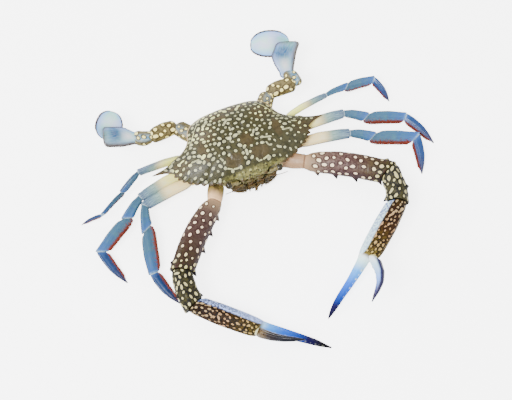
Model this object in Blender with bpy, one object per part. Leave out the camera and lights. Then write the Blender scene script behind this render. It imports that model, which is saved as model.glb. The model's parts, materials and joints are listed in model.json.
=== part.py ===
"""Blue swimming crab, male, life size, resting on its belly with legs and claws spread.

The crab faces -Y, its left side is +X and the floor is at Z = 0. Every shell plate that a
person would name is one closed solid: carapace, thorax, tail flap, mouthparts, eyes and
feelers, and five segments in each of the ten legs. Numbers are millimetres, and each mesh
is scaled to metres as it is made.
"""
from math import asin, cos, degrees, pi, radians, sin

import bmesh
import bpy
from mathutils import Matrix, Vector

MM = 0.001
GAP = 0.3                   # clear space between neighbouring shells
SIDES = (("left", 1), ("right", -1))

# ------------------------------------------------------------------ body dimensions
SPREAD = 154.0              # carapace width between the tips of the side spines
RIM_Z = 22.5                # height of the carapace edge above the floor
CROWN_Z = 37.0              # top of the carapace dome
UNDER_Z = 18.6              # flat underside of the carapace
CENTRE_Y = 3.0              # the middle of the carapace, seen from above
EDGE = 0.9                  # thickness of the shell at its toothed edge
SIDE_SAG = 2.4              # the underside hangs lower beside the legs by this much
CROWN_RINGS = (0.34, 0.62, 0.83, 0.95)                      # shares of the way to the margin
UNDER_RINGS = ((0.94, 0.0), (0.84, SIDE_SAG), (0.74, 0.0))  # the same below, with their sag
MARGIN_A = 65.0             # half-axes of the ellipse that the tips of the edge teeth lie on
MARGIN_B = 33.0
TOOTH_FIRST = 64.0          # ellipse angle of the tooth beside the eye, in degrees
TOOTH_LAST = 14.0           # ellipse angle of the last small tooth, before the spine
TOOTH_COUNT = 8
TOOTH_DEPTH = 2.6
REAR_Y = 40.0

THORAX_HALF = (36.5, 31.5)  # half-width and half-length of the lower body
THORAX_TOP = UNDER_Z - GAP
THORAX_FRONT = -30.6

EYE_SEAT = (14.5, -31.2, 20.0)
EYE_TIP = (26.2, -32.0, 21.8)
EYE_RADIUS = 3.0
FEELER_SEAT = (11.5, -32.8, 17.0)
FEELER_LENGTH = 18.0

# ------------------------------------------------------------------ limbs
# Where each pair of legs leaves the body (left side; the right side mirrors it), and the
# way its socket faces: 0 is straight out, negative is forward.
SEATS = {
    "cheliped": ((30.0, -19.5, 10.0), -48),
    "leg2": ((34.5, -8.0, 9.5), -14),
    "leg3": ((35.0, 3.0, 9.5), -9),
    "leg4": ((33.5, 14.0, 10.0), 4),
    "swimmer": ((29.5, 26.0, 11.6), 48),
}

# Segment lengths. Both sides share them.
LENGTHS = {
    "cheliped": {"ischium": 21.5, "merus": 71.5, "carpus": 29.5, "palm": 55.5},
    "leg2": {"ischium": 16.5, "merus": 44.5, "carpus": 21.5, "propodus": 39.0, "dactyl": 33.0},
    "leg3": {"ischium": 17.0, "merus": 45.0, "carpus": 21.5, "propodus": 36.0, "dactyl": 34.0},
    "leg4": {"ischium": 16.5, "merus": 40.5, "carpus": 21.0, "propodus": 28.5, "dactyl": 24.0},
    "swimmer": {"coxa": 22.5, "merus": 24.0, "carpus": 14.5, "propodus": 28.0, "paddle": 33.5},
}
POLLEX_LENGTH = 59.0
POLLEX_TURN = {"left": 3.5, "right": 14.0}  # how far the fixed finger bends inward
FINGER_LENGTH = 49.0

# The pose: heading and pitch of each segment in degrees. Heading 0 points straight out
# from the crab's side and -90 straight ahead; pitch is upward. A pitch of FLOOR lets the
# segment's tip come down to the floor.
FLOOR = None
POSE = {
    "left": {
        "cheliped": ((-36, 11), (-32, 2), (-100, 2), (-141, -1)),
        "leg2": ((-15, 8), (-15, 10), (-22, -17), (-19, -8), (-105, FLOOR)),
        "leg3": ((-6, 7), (-6, 10), (-21, -19), (-17, -9), (-65, FLOOR)),
        "leg4": ((6, 8), (6, 9), (8, -8), (1, -13), (-72, FLOOR)),
        "swimmer": ((50, 11), (-8, 14), (85, -11), (69, 18), (164, 2)),
    },
    "right": {
        "cheliped": ((-64, 11), (-47, 7), (-90, -12), (-136, 0)),
        "leg2": ((-9, 4), (-10, 2), (-74, -2), (-78, -6), (-110, FLOOR)),
        "leg3": ((-12, 5), (-12, 3), (-38, -5), (-33, -4), (-110, FLOOR)),
        "leg4": ((-4, 8), (-4, 10), (-24, -22), (-33, 6), (14, FLOOR)),
        "swimmer": ((51, 5), (-9, 8), (19, 5), (4, 26), (122, -12)),
    },
}
FINGER_POSE = {"left": (-110, 18), "right": (-136, 25)}

# How far the broad face of each limb is rolled from lying flat, flexor edge down.
ROLL = {
    "left": {"cheliped": 25, "leg2": 12, "leg3": 18, "leg4": 42, "swimmer": 5},
    "right": {"cheliped": 25, "leg2": 8, "leg3": 14, "leg4": 80, "swimmer": 8},
}
PALM_ROLL = {"left": 38, "right": 48}

# Half-width and half-thickness of each segment at its stoutest.
GIRTHS = {
    "cheliped": {"ischium": (7.2, 6.0), "merus": (10.0, 7.6), "carpus": (8.8, 8.0),
                 "palm": (10.3, 8.0)},
    "leg2": {"ischium": (4.4, 3.8), "merus": (5.1, 3.2), "carpus": (4.8, 3.0),
             "propodus": (5.7, 2.5), "dactyl": (4.2, 1.9)},
    "leg3": {"ischium": (4.2, 3.7), "merus": (4.7, 3.1), "carpus": (4.6, 2.9),
             "propodus": (5.0, 2.4), "dactyl": (4.0, 1.8)},
    "leg4": {"ischium": (4.0, 3.5), "merus": (4.4, 2.9), "carpus": (4.2, 2.6),
             "propodus": (4.3, 2.1), "dactyl": (3.3, 1.6)},
    "swimmer": {"coxa": (7.6, 5.4), "merus": (7.3, 5.0), "carpus": (6.8, 4.4),
                "propodus": (9.4, 2.2), "paddle": (12.9, 1.2)},
}

# Outline of each kind of segment: (part of the length, share of half-width, share of
# half-thickness). Stations past 0 and 1 round the ends off before the joint cuts them.
PROFILES = {
    "stub": ((0.0, 0.92, 0.92), (0.5, 1.0, 1.0), (0.92, 0.86, 0.92), (1.2, 0.55, 0.6)),
    "cheliped_merus": ((-0.05, 0.5, 0.5), (0.0, 0.68, 0.75), (0.12, 0.86, 0.9),
                       (0.4, 1.0, 1.0), (0.75, 1.02, 1.0), (0.95, 0.98, 0.96),
                       (1.03, 0.86, 0.86), (1.1, 0.5, 0.5)),
    "cheliped_carpus": ((-0.22, 0.45, 0.5), (-0.08, 0.78, 0.8), (0.2, 0.98, 0.96),
                        (0.6, 1.04, 1.0), (0.95, 1.0, 0.98), (1.12, 0.82, 0.8),
                        (1.25, 0.45, 0.45)),
    "walking_merus": ((-0.05, 0.45, 0.6), (0.0, 0.7, 0.8), (0.12, 0.92, 0.96),
                      (0.4, 1.0, 1.0), (0.82, 0.9, 0.92), (0.97, 0.84, 0.86),
                      (1.06, 0.5, 0.6)),
    "walking_carpus": ((-0.1, 0.45, 0.6), (0.02, 0.66, 0.82), (0.4, 0.86, 1.0),
                       (0.9, 1.0, 0.96), (1.0, 0.88, 0.86), (1.1, 0.55, 0.6)),
    "walking_propodus": ((-0.05, 0.45, 0.6), (0.03, 0.7, 0.85), (0.3, 0.96, 1.0),
                         (0.6, 1.0, 0.96), (0.92, 0.84, 0.82), (1.0, 0.7, 0.72),
                         (1.05, 0.45, 0.5)),
    "walking_dactyl": ((-0.06, 0.5, 0.6), (0.03, 0.92, 0.95), (0.2, 1.0, 1.0),
                       (0.5, 0.88, 0.85), (0.75, 0.58, 0.62), (0.93, 0.24, 0.36),
                       (1.0, 0.11, 0.24)),
    "swimmer_merus": ((-0.1, 0.5, 0.55), (0.04, 0.8, 0.85), (0.35, 1.0, 1.0),
                      (0.75, 0.98, 0.98), (0.98, 0.8, 0.85), (1.12, 0.5, 0.55)),
    "swimmer_carpus": ((-0.2, 0.45, 0.55), (0.0, 0.8, 0.85), (0.4, 1.0, 1.0),
                       (0.85, 0.96, 0.9), (1.05, 0.72, 0.7), (1.2, 0.45, 0.5)),
    "swimmer_propodus": ((-0.08, 0.36, 0.7), (0.04, 0.55, 0.95), (0.25, 0.76, 1.0),
                         (0.55, 0.96, 0.85), (0.85, 1.0, 0.7), (0.98, 0.86, 0.6),
                         (1.06, 0.5, 0.5)),
    "paddle": ((-0.02, 0.2, 1.0), (0.05, 0.42, 1.0), (0.15, 0.7, 0.95), (0.32, 0.94, 0.85),
               (0.52, 1.0, 0.75), (0.72, 0.9, 0.68), (0.88, 0.64, 0.6), (0.97, 0.34, 0.55),
               (1.0, 0.12, 0.5)),
}
SHAPES = {
    "cheliped": {"ischium": "stub", "merus": "cheliped_merus", "carpus": "cheliped_carpus"},
    "leg2": {"ischium": "stub", "merus": "walking_merus", "carpus": "walking_carpus",
             "propodus": "walking_propodus", "dactyl": "walking_dactyl"},
    "swimmer": {"coxa": "stub", "merus": "swimmer_merus", "carpus": "swimmer_carpus",
                "propodus": "swimmer_propodus", "paddle": "paddle"},
}
SHAPES["leg3"] = SHAPES["leg2"]
SHAPES["leg4"] = SHAPES["leg2"]

# Spines on the claw legs: (part of the length, edge, length). Edge 1 is the flexor edge,
# which faces the mouth, and -1 the outer edge.
SPINES = {
    "merus": ((0.16, 1, 1.6), (0.38, 1, 2.2), (0.62, 1, 2.4), (0.93, 1, 2.2), (0.96, -1, 1.2)),
    "carpus": ((0.74, 1, 3.2), (0.62, -1, 1.6)),
    "palm": ((0.1, -1, 1.6), (0.84, -1, 1.8)),
}
SPINE_FOOT = 2.6            # half the length of a spine's foot along the edge
BOW = {                      # how far each limb's segments bulge to their outer edge
    "cheliped": {"merus": 2.7, "carpus": 3.2, "palm": 0.6},
    "walking": {"merus": 1.4, "carpus": 0.8, "propodus": 0.4, "dactyl": 1.6},
    "swimmer": {"merus": 1.0, "carpus": -1.5, "propodus": 2.2, "paddle": -0.8},
}

# Palm, fixed finger and movable finger.
PALM_PROFILE = ((-0.16, 0.45, 0.5), (-0.04, 0.72, 0.78), (0.1, 0.86, 0.92), (0.4, 0.98, 1.0),
                (0.75, 0.96, 0.96), (0.96, 0.88, 0.88))
POLLEX_SHIFT = 3.8          # the fixed finger's root sits this far inward of the palm's middle
POLLEX_PROFILE = ((0.0, 5.4, 5.2), (0.12, 5.0, 4.4), (0.35, 4.2, 3.5), (0.6, 3.5, 2.9),
                  (0.78, 2.9, 2.3), (0.9, 1.7, 1.5), (1.0, 0.35, 0.4))
FINGER_SHIFT = 5.6
FINGER_PROFILE = ((-0.08, 2.6, 2.6), (0.02, 4.1, 3.9), (0.14, 3.9, 3.6), (0.4, 3.3, 2.9),
                  (0.65, 2.6, 2.3), (0.83, 1.8, 1.6), (0.93, 1.1, 1.0), (1.0, 0.35, 0.4))
FINGER_BOW = 4.6            # how far the movable finger arches outward
FINGER_HOOK = 3.0           # and how far its tip hooks back

# Tail flap: (distance along the belly, half-width), from its tip to the back of the body.
FLAP = ((-15.0, 1.6), (-10.0, 3.4), (0.0, 4.6), (8.0, 5.6), (15.0, 8.5), (22.0, 12.5))
FLAP_THICK = 2.0
FLAP_REAR = (12.5, 13.0)    # half-width where it turns up, and at its upper end
FLAP_TURN = 8.0             # radius of that turn
FLAP_TOP_Z = 15.5

COLOURS = {                 # base colour, roughness
    "shell": ((0.16, 0.13, 0.07), 0.42),
    "belly": ((0.72, 0.68, 0.60), 0.50),
    "claw": ((0.20, 0.13, 0.09), 0.40),
    "finger": ((0.16, 0.30, 0.62), 0.30),
    "leg": ((0.16, 0.33, 0.45), 0.40),
    "swimming": ((0.50, 0.62, 0.66), 0.40),
    "mouth": ((0.22, 0.13, 0.06), 0.55),
    "eye": ((0.03, 0.03, 0.03), 0.10),
}


# ------------------------------------------------------------------ helpers
def clear_scene():
    for item in list(bpy.data.objects):
        bpy.data.objects.remove(item, do_unlink=True)


def make_collection(name):
    collection = bpy.data.collections.new(name)
    bpy.context.scene.collection.children.link(collection)
    return collection


def make_material(name):
    colour, roughness = COLOURS[name]
    material = bpy.data.materials.new(name)
    material.use_nodes = True
    shader = material.node_tree.nodes["Principled BSDF"]
    shader.inputs["Base Color"].default_value = (*colour, 1.0)
    shader.inputs["Roughness"].default_value = roughness
    shader.inputs["Metallic"].default_value = 0.0
    return material


def make_empty(name, place, collection):
    empty = bpy.data.objects.new(name, None)
    empty.location = Vector(place) * MM
    empty.empty_display_size = 0.01
    collection.objects.link(empty)
    return empty


def finish_object(name, bm, frame, material, collection, parent):
    """Turn a bmesh in millimetres into an object whose origin is frame's."""
    bmesh.ops.remove_doubles(bm, verts=bm.verts, dist=0.01)
    bmesh.ops.recalc_face_normals(bm, faces=bm.faces)
    if bm.calc_volume(signed=True) < 0:
        bmesh.ops.reverse_faces(bm, faces=bm.faces)
    bmesh.ops.scale(bm, vec=(MM, MM, MM), verts=bm.verts)
    mesh = bpy.data.meshes.new(name)
    bm.to_mesh(mesh)
    bm.free()
    mesh.shade_smooth()
    mesh.set_sharp_from_angle(angle=radians(35))
    mesh.materials.append(material)
    obj = bpy.data.objects.new(name, mesh)
    collection.objects.link(obj)
    placed = frame.copy()
    placed.translation = frame.translation * MM
    obj.parent = parent
    obj.matrix_parent_inverse = Matrix.Translation(-parent.location)
    obj.matrix_basis = placed
    return obj


def loft(bm, rings):
    """Skin closed rings of equal count, with a flat cap at each end."""
    rows = [[bm.verts.new(point) for point in ring] for ring in rings]
    for low, high in zip(rows, rows[1:]):
        for i in range(len(low)):
            j = (i + 1) % len(low)
            bm.faces.new((low[i], low[j], high[j], high[i]))
    bm.faces.new(rows[0][::-1])
    bm.faces.new(rows[-1])


def cut(bm, point, normal):
    """Remove what lies on the side that normal points to, and close the cut."""
    geometry = bm.verts[:] + bm.edges[:] + bm.faces[:]
    bmesh.ops.bisect_plane(bm, geom=geometry, dist=1e-4, plane_co=point, plane_no=normal,
                           clear_outer=True)
    rim = [edge for edge in bm.edges if edge.is_boundary]
    if rim:
        bmesh.ops.holes_fill(bm, edges=rim, sides=0)


def ring(along, half_width, half_thick, count, shift=0.0, squareness=2.4, spikes=()):
    """A rounded section across X: Y is the width with the flexor edge at +Y, Z the face."""
    points = []
    for i in range(count):
        angle = 2 * pi * i / count
        c, s = cos(angle), sin(angle)
        y = half_width * abs(c) ** (2 / squareness) * (1 if c >= 0 else -1)
        z = half_thick * abs(s) ** (2 / squareness) * (1 if s >= 0 else -1)
        points.append(Vector((along, y + shift, z)))
    for edge, length, lean in spikes:
        tip = points[0] if edge > 0 else points[count // 2]
        tip.y += edge * length
        tip.x += lean
    return points


def blend_profile(profile, at):
    """Half-width and half-thickness shares of a profile at one part of the length."""
    for (a, wa, ta), (b, wb, tb) in zip(profile, profile[1:]):
        if a <= at <= b:
            mix = (at - a) / (b - a)
            return wa + (wb - wa) * mix, ta + (tb - ta) * mix
    raise ValueError("outside the profile")


def with_spines(profile, spines, length):
    """Profile stations as (at, width, thick, spikes), with three more for each spine."""
    foot = SPINE_FOOT / length
    rows = [(at, w, t, ()) for at, w, t in profile
            if all(abs(at - spine[0]) > foot * 1.3 for spine in spines)]
    places = []
    for at, edge, size in spines:
        places += [(at - foot, ()), (at, ((edge, size, size * 0.5),)), (at + foot * 0.7, ())]
    rows += [(at, *blend_profile(profile, at), spikes) for at, spikes in places]
    return sorted(rows, key=lambda row: row[0])


def heading_vector(heading, pitch, side):
    h, p = radians(heading), radians(pitch)
    return Vector((side * cos(h) * cos(p), sin(h) * cos(p), sin(p)))


def segment_frame(start, direction, roll, side):
    """X along the segment, Y to its flexor edge, Z to its upper face."""
    level = Vector((side * direction.y, -side * direction.x, 0)).normalized()
    up = level.cross(direction)
    up = up if up.z > 0 else -up
    flexor = level * cos(radians(roll)) - up * sin(radians(roll))
    face = direction.cross(flexor)
    matrix = Matrix((direction, flexor, face)).transposed().to_4x4()
    matrix.translation = start
    return matrix


def into(frame, point=None, direction=None):
    """A world point or direction in a segment's own frame."""
    if point is not None:
        return frame.inverted() @ Vector(point)
    return frame.to_3x3().inverted() @ Vector(direction)


# ------------------------------------------------------------------ limbs
def limb_path(limb, side_name, side):
    """Joint points of a limb, from its seat on the body to its end."""
    seat = SEATS[limb][0]
    points = [Vector((side * seat[0], seat[1], seat[2]))]
    steps = []
    for (heading, pitch), length in zip(POSE[side_name][limb], LENGTHS[limb].values()):
        if pitch is FLOOR:
            pitch = -degrees(asin(points[-1].z / length))
        step = heading_vector(heading, pitch, side)
        steps.append(step)
        points.append(points[-1] + step * length)
    return points, steps


def cut_joint(bm, frame, joint, before, after, keep_after):
    """Trim a segment to the plane that halves the joint's angle, less half the gap."""
    normal = (before + after).normalized()
    if keep_after:
        cut(bm, into(frame, joint + normal * GAP / 2), into(frame, direction=-normal))
    else:
        cut(bm, into(frame, joint - normal * GAP / 2), into(frame, direction=normal))


def segment_mesh(limb, kind, count):
    """A tapering tube with rounded ends, bowed toward its outer edge."""
    shape, length, girth = SHAPES[limb][kind], LENGTHS[limb][kind], GIRTHS[limb][kind]
    spines = SPINES.get(kind, ()) if shape.startswith("cheliped") else ()
    bow = BOW.get(limb, BOW["walking"]).get(kind, 0.0)
    bm = bmesh.new()
    rings = []
    for at, width, thick, spikes in with_spines(PROFILES[shape], spines, length):
        inside = min(max(at, 0.0), 1.0)
        shift = -bow * sin(pi * inside)
        rings.append(ring(at * length, girth[0] * width, girth[1] * thick, count, shift,
                          spikes=spikes))
    loft(bm, rings)
    return bm


def make_limb(limb, side_name, side, count, materials, collection):
    points, steps = limb_path(limb, side_name, side)
    heading = radians(SEATS[limb][1])
    socket = Vector((side * cos(heading), sin(heading), 0))
    empty = make_empty(f"{limb}_{side_name}", points[0], collection)
    frames = []
    kinds = [kind for kind in LENGTHS[limb] if kind != "palm"]
    for index, kind in enumerate(kinds):
        frame = segment_frame(points[index], steps[index], ROLL[side_name][limb], side)
        frames.append(frame)
        bm = segment_mesh(limb, kind, count)
        if index == 0:
            cut(bm, into(frame, points[0] + socket * GAP), into(frame, direction=-socket))
        else:
            cut_joint(bm, frame, points[index], steps[index - 1], steps[index], True)
        if index + 1 < len(steps):
            cut_joint(bm, frame, points[index + 1], steps[index], steps[index + 1], False)
        cut(bm, into(frame, Vector((0, 0, 0))), into(frame, direction=Vector((0, 0, -1))))
        finish_object(f"{limb}_{side_name}_{kind}", bm, frame, materials(limb, kind),
                      collection, empty)
    return points, steps, empty


def hand_frame(points, steps, side_name, side):
    return segment_frame(points[3], steps[3], PALM_ROLL[side_name], side)


def make_palm(points, steps, side_name, side, materials, collection, empty):
    """The palm and its fixed finger are one shell."""
    frame = hand_frame(points, steps, side_name, side)
    length = LENGTHS["cheliped"]["palm"]
    girth = GIRTHS["cheliped"]["palm"]
    rings = []
    for at, width, thick, spikes in with_spines(PALM_PROFILE, SPINES["palm"], length):
        rings.append(ring(at * length, girth[0] * width, girth[1] * thick, 12,
                          -BOW["cheliped"]["palm"] * sin(pi * max(at, 0)), spikes=spikes))
    # The palm ends square, and the fixed finger grows from the inner half of its end.
    rings.append(ring(length - 0.2, girth[0] * 0.84, girth[1] * 0.82, 12))
    rings.append(ring(length - 0.1, *POLLEX_PROFILE[0][1:], 12, POLLEX_SHIFT))
    # The fixed finger turns inward, and its tip comes down to the floor.
    root = frame @ Vector((length + 1.8, POLLEX_SHIFT, 0))
    flat_turn = Matrix.Rotation(radians(POLLEX_TURN[side_name]), 3, "Z") @ Vector((1, 0, 0))
    way = (frame.to_3x3() @ flat_turn).normalized()
    drop = asin(root.z / POLLEX_LENGTH)
    level = Vector((way.x, way.y, 0)).normalized()
    way = level * cos(drop) - Vector((0, 0, 1)) * sin(drop)
    finger = segment_frame(root, way, PALM_ROLL[side_name], side)
    to_palm = frame.inverted() @ finger
    for at, width, thick in POLLEX_PROFILE:
        section = ring(at * POLLEX_LENGTH, width, thick, 12, 1.6 * sin(pi * at))
        rings.append([to_palm @ point for point in section])
    bm = bmesh.new()
    loft(bm, rings)
    cut_joint(bm, frame, points[3], steps[2], steps[3], True)
    cut(bm, into(frame, Vector((0, 0, 0))), into(frame, direction=Vector((0, 0, -1))))
    return finish_object(f"cheliped_{side_name}_palm", bm, frame,
                         materials("cheliped", "palm"), collection, empty)


def make_finger(points, steps, side_name, side, materials, collection, empty):
    """The movable finger: a curved tube from the outer half of the palm's end."""
    palm = hand_frame(points, steps, side_name, side)
    root = palm @ Vector((LENGTHS["cheliped"]["palm"] + 1.0, -FINGER_SHIFT, 0))
    way = heading_vector(*FINGER_POSE[side_name], side)
    # Its width lies in the plane that it opens in.
    inward = palm.to_3x3() @ Vector((0, 1, 0))
    flexor = (inward - way * inward.dot(way)).normalized()
    frame = Matrix((way, flexor, way.cross(flexor))).transposed().to_4x4()
    frame.translation = root
    bm = bmesh.new()
    rings = []
    for at, width, thick in FINGER_PROFILE:
        inside = max(at, 0.0)
        shift = -FINGER_BOW * sin(pi * inside ** 0.8) + FINGER_HOOK * inside ** 6
        rings.append(ring(at * FINGER_LENGTH, width, thick, 10, shift))
    loft(bm, rings)
    stop = palm @ Vector((LENGTHS["cheliped"]["palm"] + GAP, 0, 0))
    cut(bm, into(frame, stop), into(frame, direction=palm.to_3x3() @ Vector((-1, 0, 0))))
    crotch = palm @ Vector((0, POLLEX_SHIFT - POLLEX_PROFILE[0][1] - GAP, 0))
    cut(bm, into(frame, crotch), into(frame, direction=inward))
    return finish_object(f"cheliped_{side_name}_finger", bm, frame,
                         materials("cheliped", "finger"), collection, empty)


# ------------------------------------------------------------------ carapace
def bezier(a, b, c, count):
    """Points of a quadratic curve from a toward c, without c itself."""
    a, b, c = Vector(a), Vector(b), Vector(c)
    return [a * (1 - t) ** 2 + b * 2 * t * (1 - t) + c * t * t
            for t in (i / count for i in range(count))]


def carapace_edge():
    """Left half of the carapace seen from above, from the middle of the front to the
    middle of the back: pairs of a point on the plain margin and one on the toothed edge."""
    pairs = []

    def add(point, out=0.0):
        base = Vector(point)
        centre = Vector((0, CENTRE_Y))
        pairs.append((base, base + (base - centre).normalized() * out))

    # The front has two teeth a side, then the notch that the eye lies in.
    for x, y, out in ((0, -31.6, 0), (2.2, -31.6, 0.2), (4.2, -31.6, 2.2), (6.6, -31.2, 0.2),
                      (10.4, -30.6, 3.0), (12.6, -29.6, 0.4), (15.0, -28.0, 0),
                      (20.0, -27.4, 0), (24.5, -27.6, 0)):
        add((x, y), out)
    # The edge teeth point forward and outward.
    step = (TOOTH_FIRST - TOOTH_LAST) / (TOOTH_COUNT - 1)
    for tooth in range(TOOTH_COUNT):
        for shift, out in ((0.0, TOOTH_DEPTH), (-0.3, TOOTH_DEPTH * 0.8), (-0.72, 0.0)):
            angle = radians(TOOTH_FIRST + (shift - tooth) * step)
            inner_a, inner_b = MARGIN_A - TOOTH_DEPTH, MARGIN_B - TOOTH_DEPTH
            add((inner_a * cos(angle), -inner_b * sin(angle)), out)
    # The long side spine.
    for x, y, out in ((63.0, -3.2, 0.6), (64.5, -0.8, 4.0), (SPREAD / 2 - 12, 1.4, 12.0),
                      (64.0, 3.4, 4.0), (62.0, 5.6, 0.0)):
        add((x, y), out)
    # The hind edge: hollow beside the spine, full at the corner, nearly straight behind.
    for point in bezier((59, 7.8), (42.5, 13), (39.5, 24.5), 6):
        add(point)
    for point in bezier((39.5, 24.5), (37.5, 35.0), (22.5, 38.4), 6):
        add(point)
    for point in bezier((22.5, 38.4), (12, REAR_Y), (0, REAR_Y), 4):
        add(point)
    add((0, REAR_Y))
    return pairs


def sideways(way):
    """1 straight out to the side, falling quickly to 0 toward the front and the back."""
    return abs(way.normalized().x) ** 16


def crown(share):
    """Height of the dome at a share of the way from the middle to the margin."""
    return RIM_Z + (CROWN_Z - RIM_Z) * (1 - share ** 2.3) ** 0.85


def make_carapace(material, collection, parent):
    half = carapace_edge()
    mirrored = [(Vector((-a.x, a.y)), Vector((-b.x, b.y))) for a, b in half[-2:0:-1]]
    edge = half + mirrored
    centre = Vector((0, CENTRE_Y))
    bm = bmesh.new()
    rows = []
    for share in CROWN_RINGS:
        spots = [centre + (base - centre) * share for base, tip in edge]
        rows.append([bm.verts.new((p.x, p.y, crown(share))) for p in spots])
    rows.append([bm.verts.new((tip.x, tip.y, RIM_Z)) for base, tip in edge])
    rows.append([bm.verts.new((tip.x, tip.y, RIM_Z - EDGE)) for base, tip in edge])
    for share, drop in UNDER_RINGS:
        spots = [centre + (base - centre) * share for base, tip in edge]
        rows.append([bm.verts.new((p.x, p.y, UNDER_Z - drop * sideways(p - centre)))
                     for p in spots])
    count = len(edge)
    for high, low in zip(rows, rows[1:]):
        for i in range(count):
            j = (i + 1) % count
            bm.faces.new((high[i], low[i], low[j], high[j]))
    top = bm.verts.new((centre.x, centre.y, CROWN_Z))
    for i in range(count):
        bm.faces.new((top, rows[0][i], rows[0][(i + 1) % count]))
    bm.faces.new(rows[-1][::-1])
    return finish_object("carapace", bm, Matrix.Identity(4), material, collection, parent)


# ------------------------------------------------------------------ lower body
def flap_sections(grow):
    """Sections of the tail flap, from its tip under the belly to its end behind."""
    thick = FLAP_THICK + grow
    sections = []
    for y, half in FLAP:
        sections.append(flap_section(Vector((0, y, 0)), Vector((0, 0, 1)), half + grow, thick,
                                     grow))
    turn_y = FLAP[-1][0]
    for step in range(1, 4):
        angle = radians(30 * step)
        inner = Vector((0, turn_y, FLAP_TURN))
        out = Vector((0, sin(angle), -cos(angle)))
        sections.append(flap_section(inner + out * FLAP_TURN, -out, FLAP_REAR[0] + grow, thick,
                                     grow))
    end = Vector((0, turn_y + FLAP_TURN, FLAP_TOP_Z + grow))
    sections.append(flap_section(end, Vector((0, -1, 0)), FLAP_REAR[1] + grow, thick, grow))
    return sections


def flap_section(outer, inward, half, thick, grow):
    """A flat bar across X with its outer face at outer, thick toward inward."""
    low = outer - inward * grow
    high = outer + inward * thick
    return [low + Vector((-half, 0, 0)), low + Vector((half, 0, 0)),
            high + Vector((half * 0.9, 0, 0)), high + Vector((-half * 0.9, 0, 0))]


def make_flap(material, collection, parent):
    bm = bmesh.new()
    loft(bm, flap_sections(0.0))
    return finish_object("abdomen", bm, Matrix.Identity(4), material, collection, parent)


def make_flap_cutter(material, collection, parent):
    bm = bmesh.new()
    loft(bm, flap_sections(GAP))
    cutter = finish_object("abdomen_room", bm, Matrix.Identity(4), material, collection, parent)
    cutter.hide_render = True
    cutter.display_type = "WIRE"
    return cutter


def make_thorax(material, collection, parent, cutter):
    """The lower body: rounded below, with a flat side square to each leg's socket."""
    half_x, half_y = THORAX_HALF
    bm = bmesh.new()
    count = 32
    rings = []
    for z, share in ((0.0, 0.72), (1.6, 0.86), (4.0, 0.96), (7.0, 1.0), (13.0, 1.0),
                     (THORAX_TOP, 0.95)):
        section = []
        for i in range(count):
            angle = 2 * pi * i / count
            section.append(Vector((half_x * share * cos(angle), half_y * share * sin(angle), z)))
        rings.append(section)
    loft(bm, rings)
    for name, side in SIDES:
        for seat, heading in SEATS.values():
            out = Vector((side * cos(radians(heading)), sin(radians(heading)), 0))
            cut(bm, Vector((side * seat[0], seat[1], 0)) - out * GAP * 0.5, out)
    cut(bm, Vector((0, THORAX_FRONT, 0)), Vector((0, -1, 0)))
    thorax = finish_object("thorax", bm, Matrix.Identity(4), material, collection, parent)
    groove = thorax.modifiers.new("flap_groove", "BOOLEAN")
    groove.operation = "DIFFERENCE"
    groove.solver = "EXACT"
    groove.object = cutter
    return thorax


# ------------------------------------------------------------------ head
def tube(bm, centres, radii, count):
    """A round tube through points, each section square to the path."""
    rings = []
    for i, (centre, radius) in enumerate(zip(centres, radii)):
        ahead = centres[min(i + 1, len(centres) - 1)]
        behind = centres[max(i - 1, 0)]
        turn = (ahead - behind).normalized().to_track_quat("Z", "Y")
        rings.append([centre + turn @ Vector((radius * cos(2 * pi * k / count),
                                              radius * sin(2 * pi * k / count), 0))
                      for k in range(count)])
    loft(bm, rings)


def make_eye(name, side, material, collection, parent):
    """A stalk that ends in a round cornea, in the notch of the carapace's front."""
    seat = Vector((side * EYE_SEAT[0], EYE_SEAT[1], EYE_SEAT[2]))
    tip = Vector((side * EYE_TIP[0], EYE_TIP[1], EYE_TIP[2]))
    way = (tip - seat).normalized()
    ball = tip - way * EYE_RADIUS
    centres, radii = [seat, seat + way * 3.0], [1.7, 1.7]
    for angle in (-50, -25, 0, 25, 50, 75):
        centres.append(ball + way * EYE_RADIUS * sin(radians(angle)))
        radii.append(EYE_RADIUS * cos(radians(angle)))
    bm = bmesh.new()
    tube(bm, centres, radii, 12)
    return finish_object(f"eye_{name}", bm, Matrix.Identity(4), material, collection, parent)


def make_feeler(name, side, material, collection, parent):
    """The second feeler: a stout root, then a thin whip that bends outward."""
    seat = Vector((side * FEELER_SEAT[0], FEELER_SEAT[1], FEELER_SEAT[2]))
    centres, radii = [], []
    steps = 9
    for i in range(steps + 1):
        share = i / steps
        bend = radians(-42 + 40 * share ** 0.6)
        if centres:
            stride = Vector((side * cos(bend), sin(bend), 0.16)) * (FEELER_LENGTH / steps)
            centres.append(centres[-1] + stride)
        else:
            centres.append(seat)
        radii.append(0.35 + 0.85 * (1 - share) ** 4)
    bm = bmesh.new()
    tube(bm, centres, radii, 6)
    return finish_object(f"antenna_{name}", bm, Matrix.Identity(4), material, collection, parent)


def make_mouth(name, side, material, collection, parent):
    """One of the two outer mouthparts, a jointed plate that closes half of the mouth."""
    bm = bmesh.new()
    rings = []
    for z, front, width in ((2.0, -32.4, 5.4), (5.0, -34.0, 8.2), (9.0, -35.2, 9.2),
                            (12.5, -35.4, 8.8), (15.6, -34.2, 7.6)):
        inner, outer = side * GAP / 2, side * (GAP / 2 + width)
        back = THORAX_FRONT - GAP
        rings.append([Vector((inner, back, z)), Vector((outer, back, z)),
                      Vector((outer, front * 0.985, z)), Vector((inner, front, z))])
    loft(bm, rings)
    return finish_object(f"mouth_{name}", bm, Matrix.Identity(4), material, collection, parent)


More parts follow.
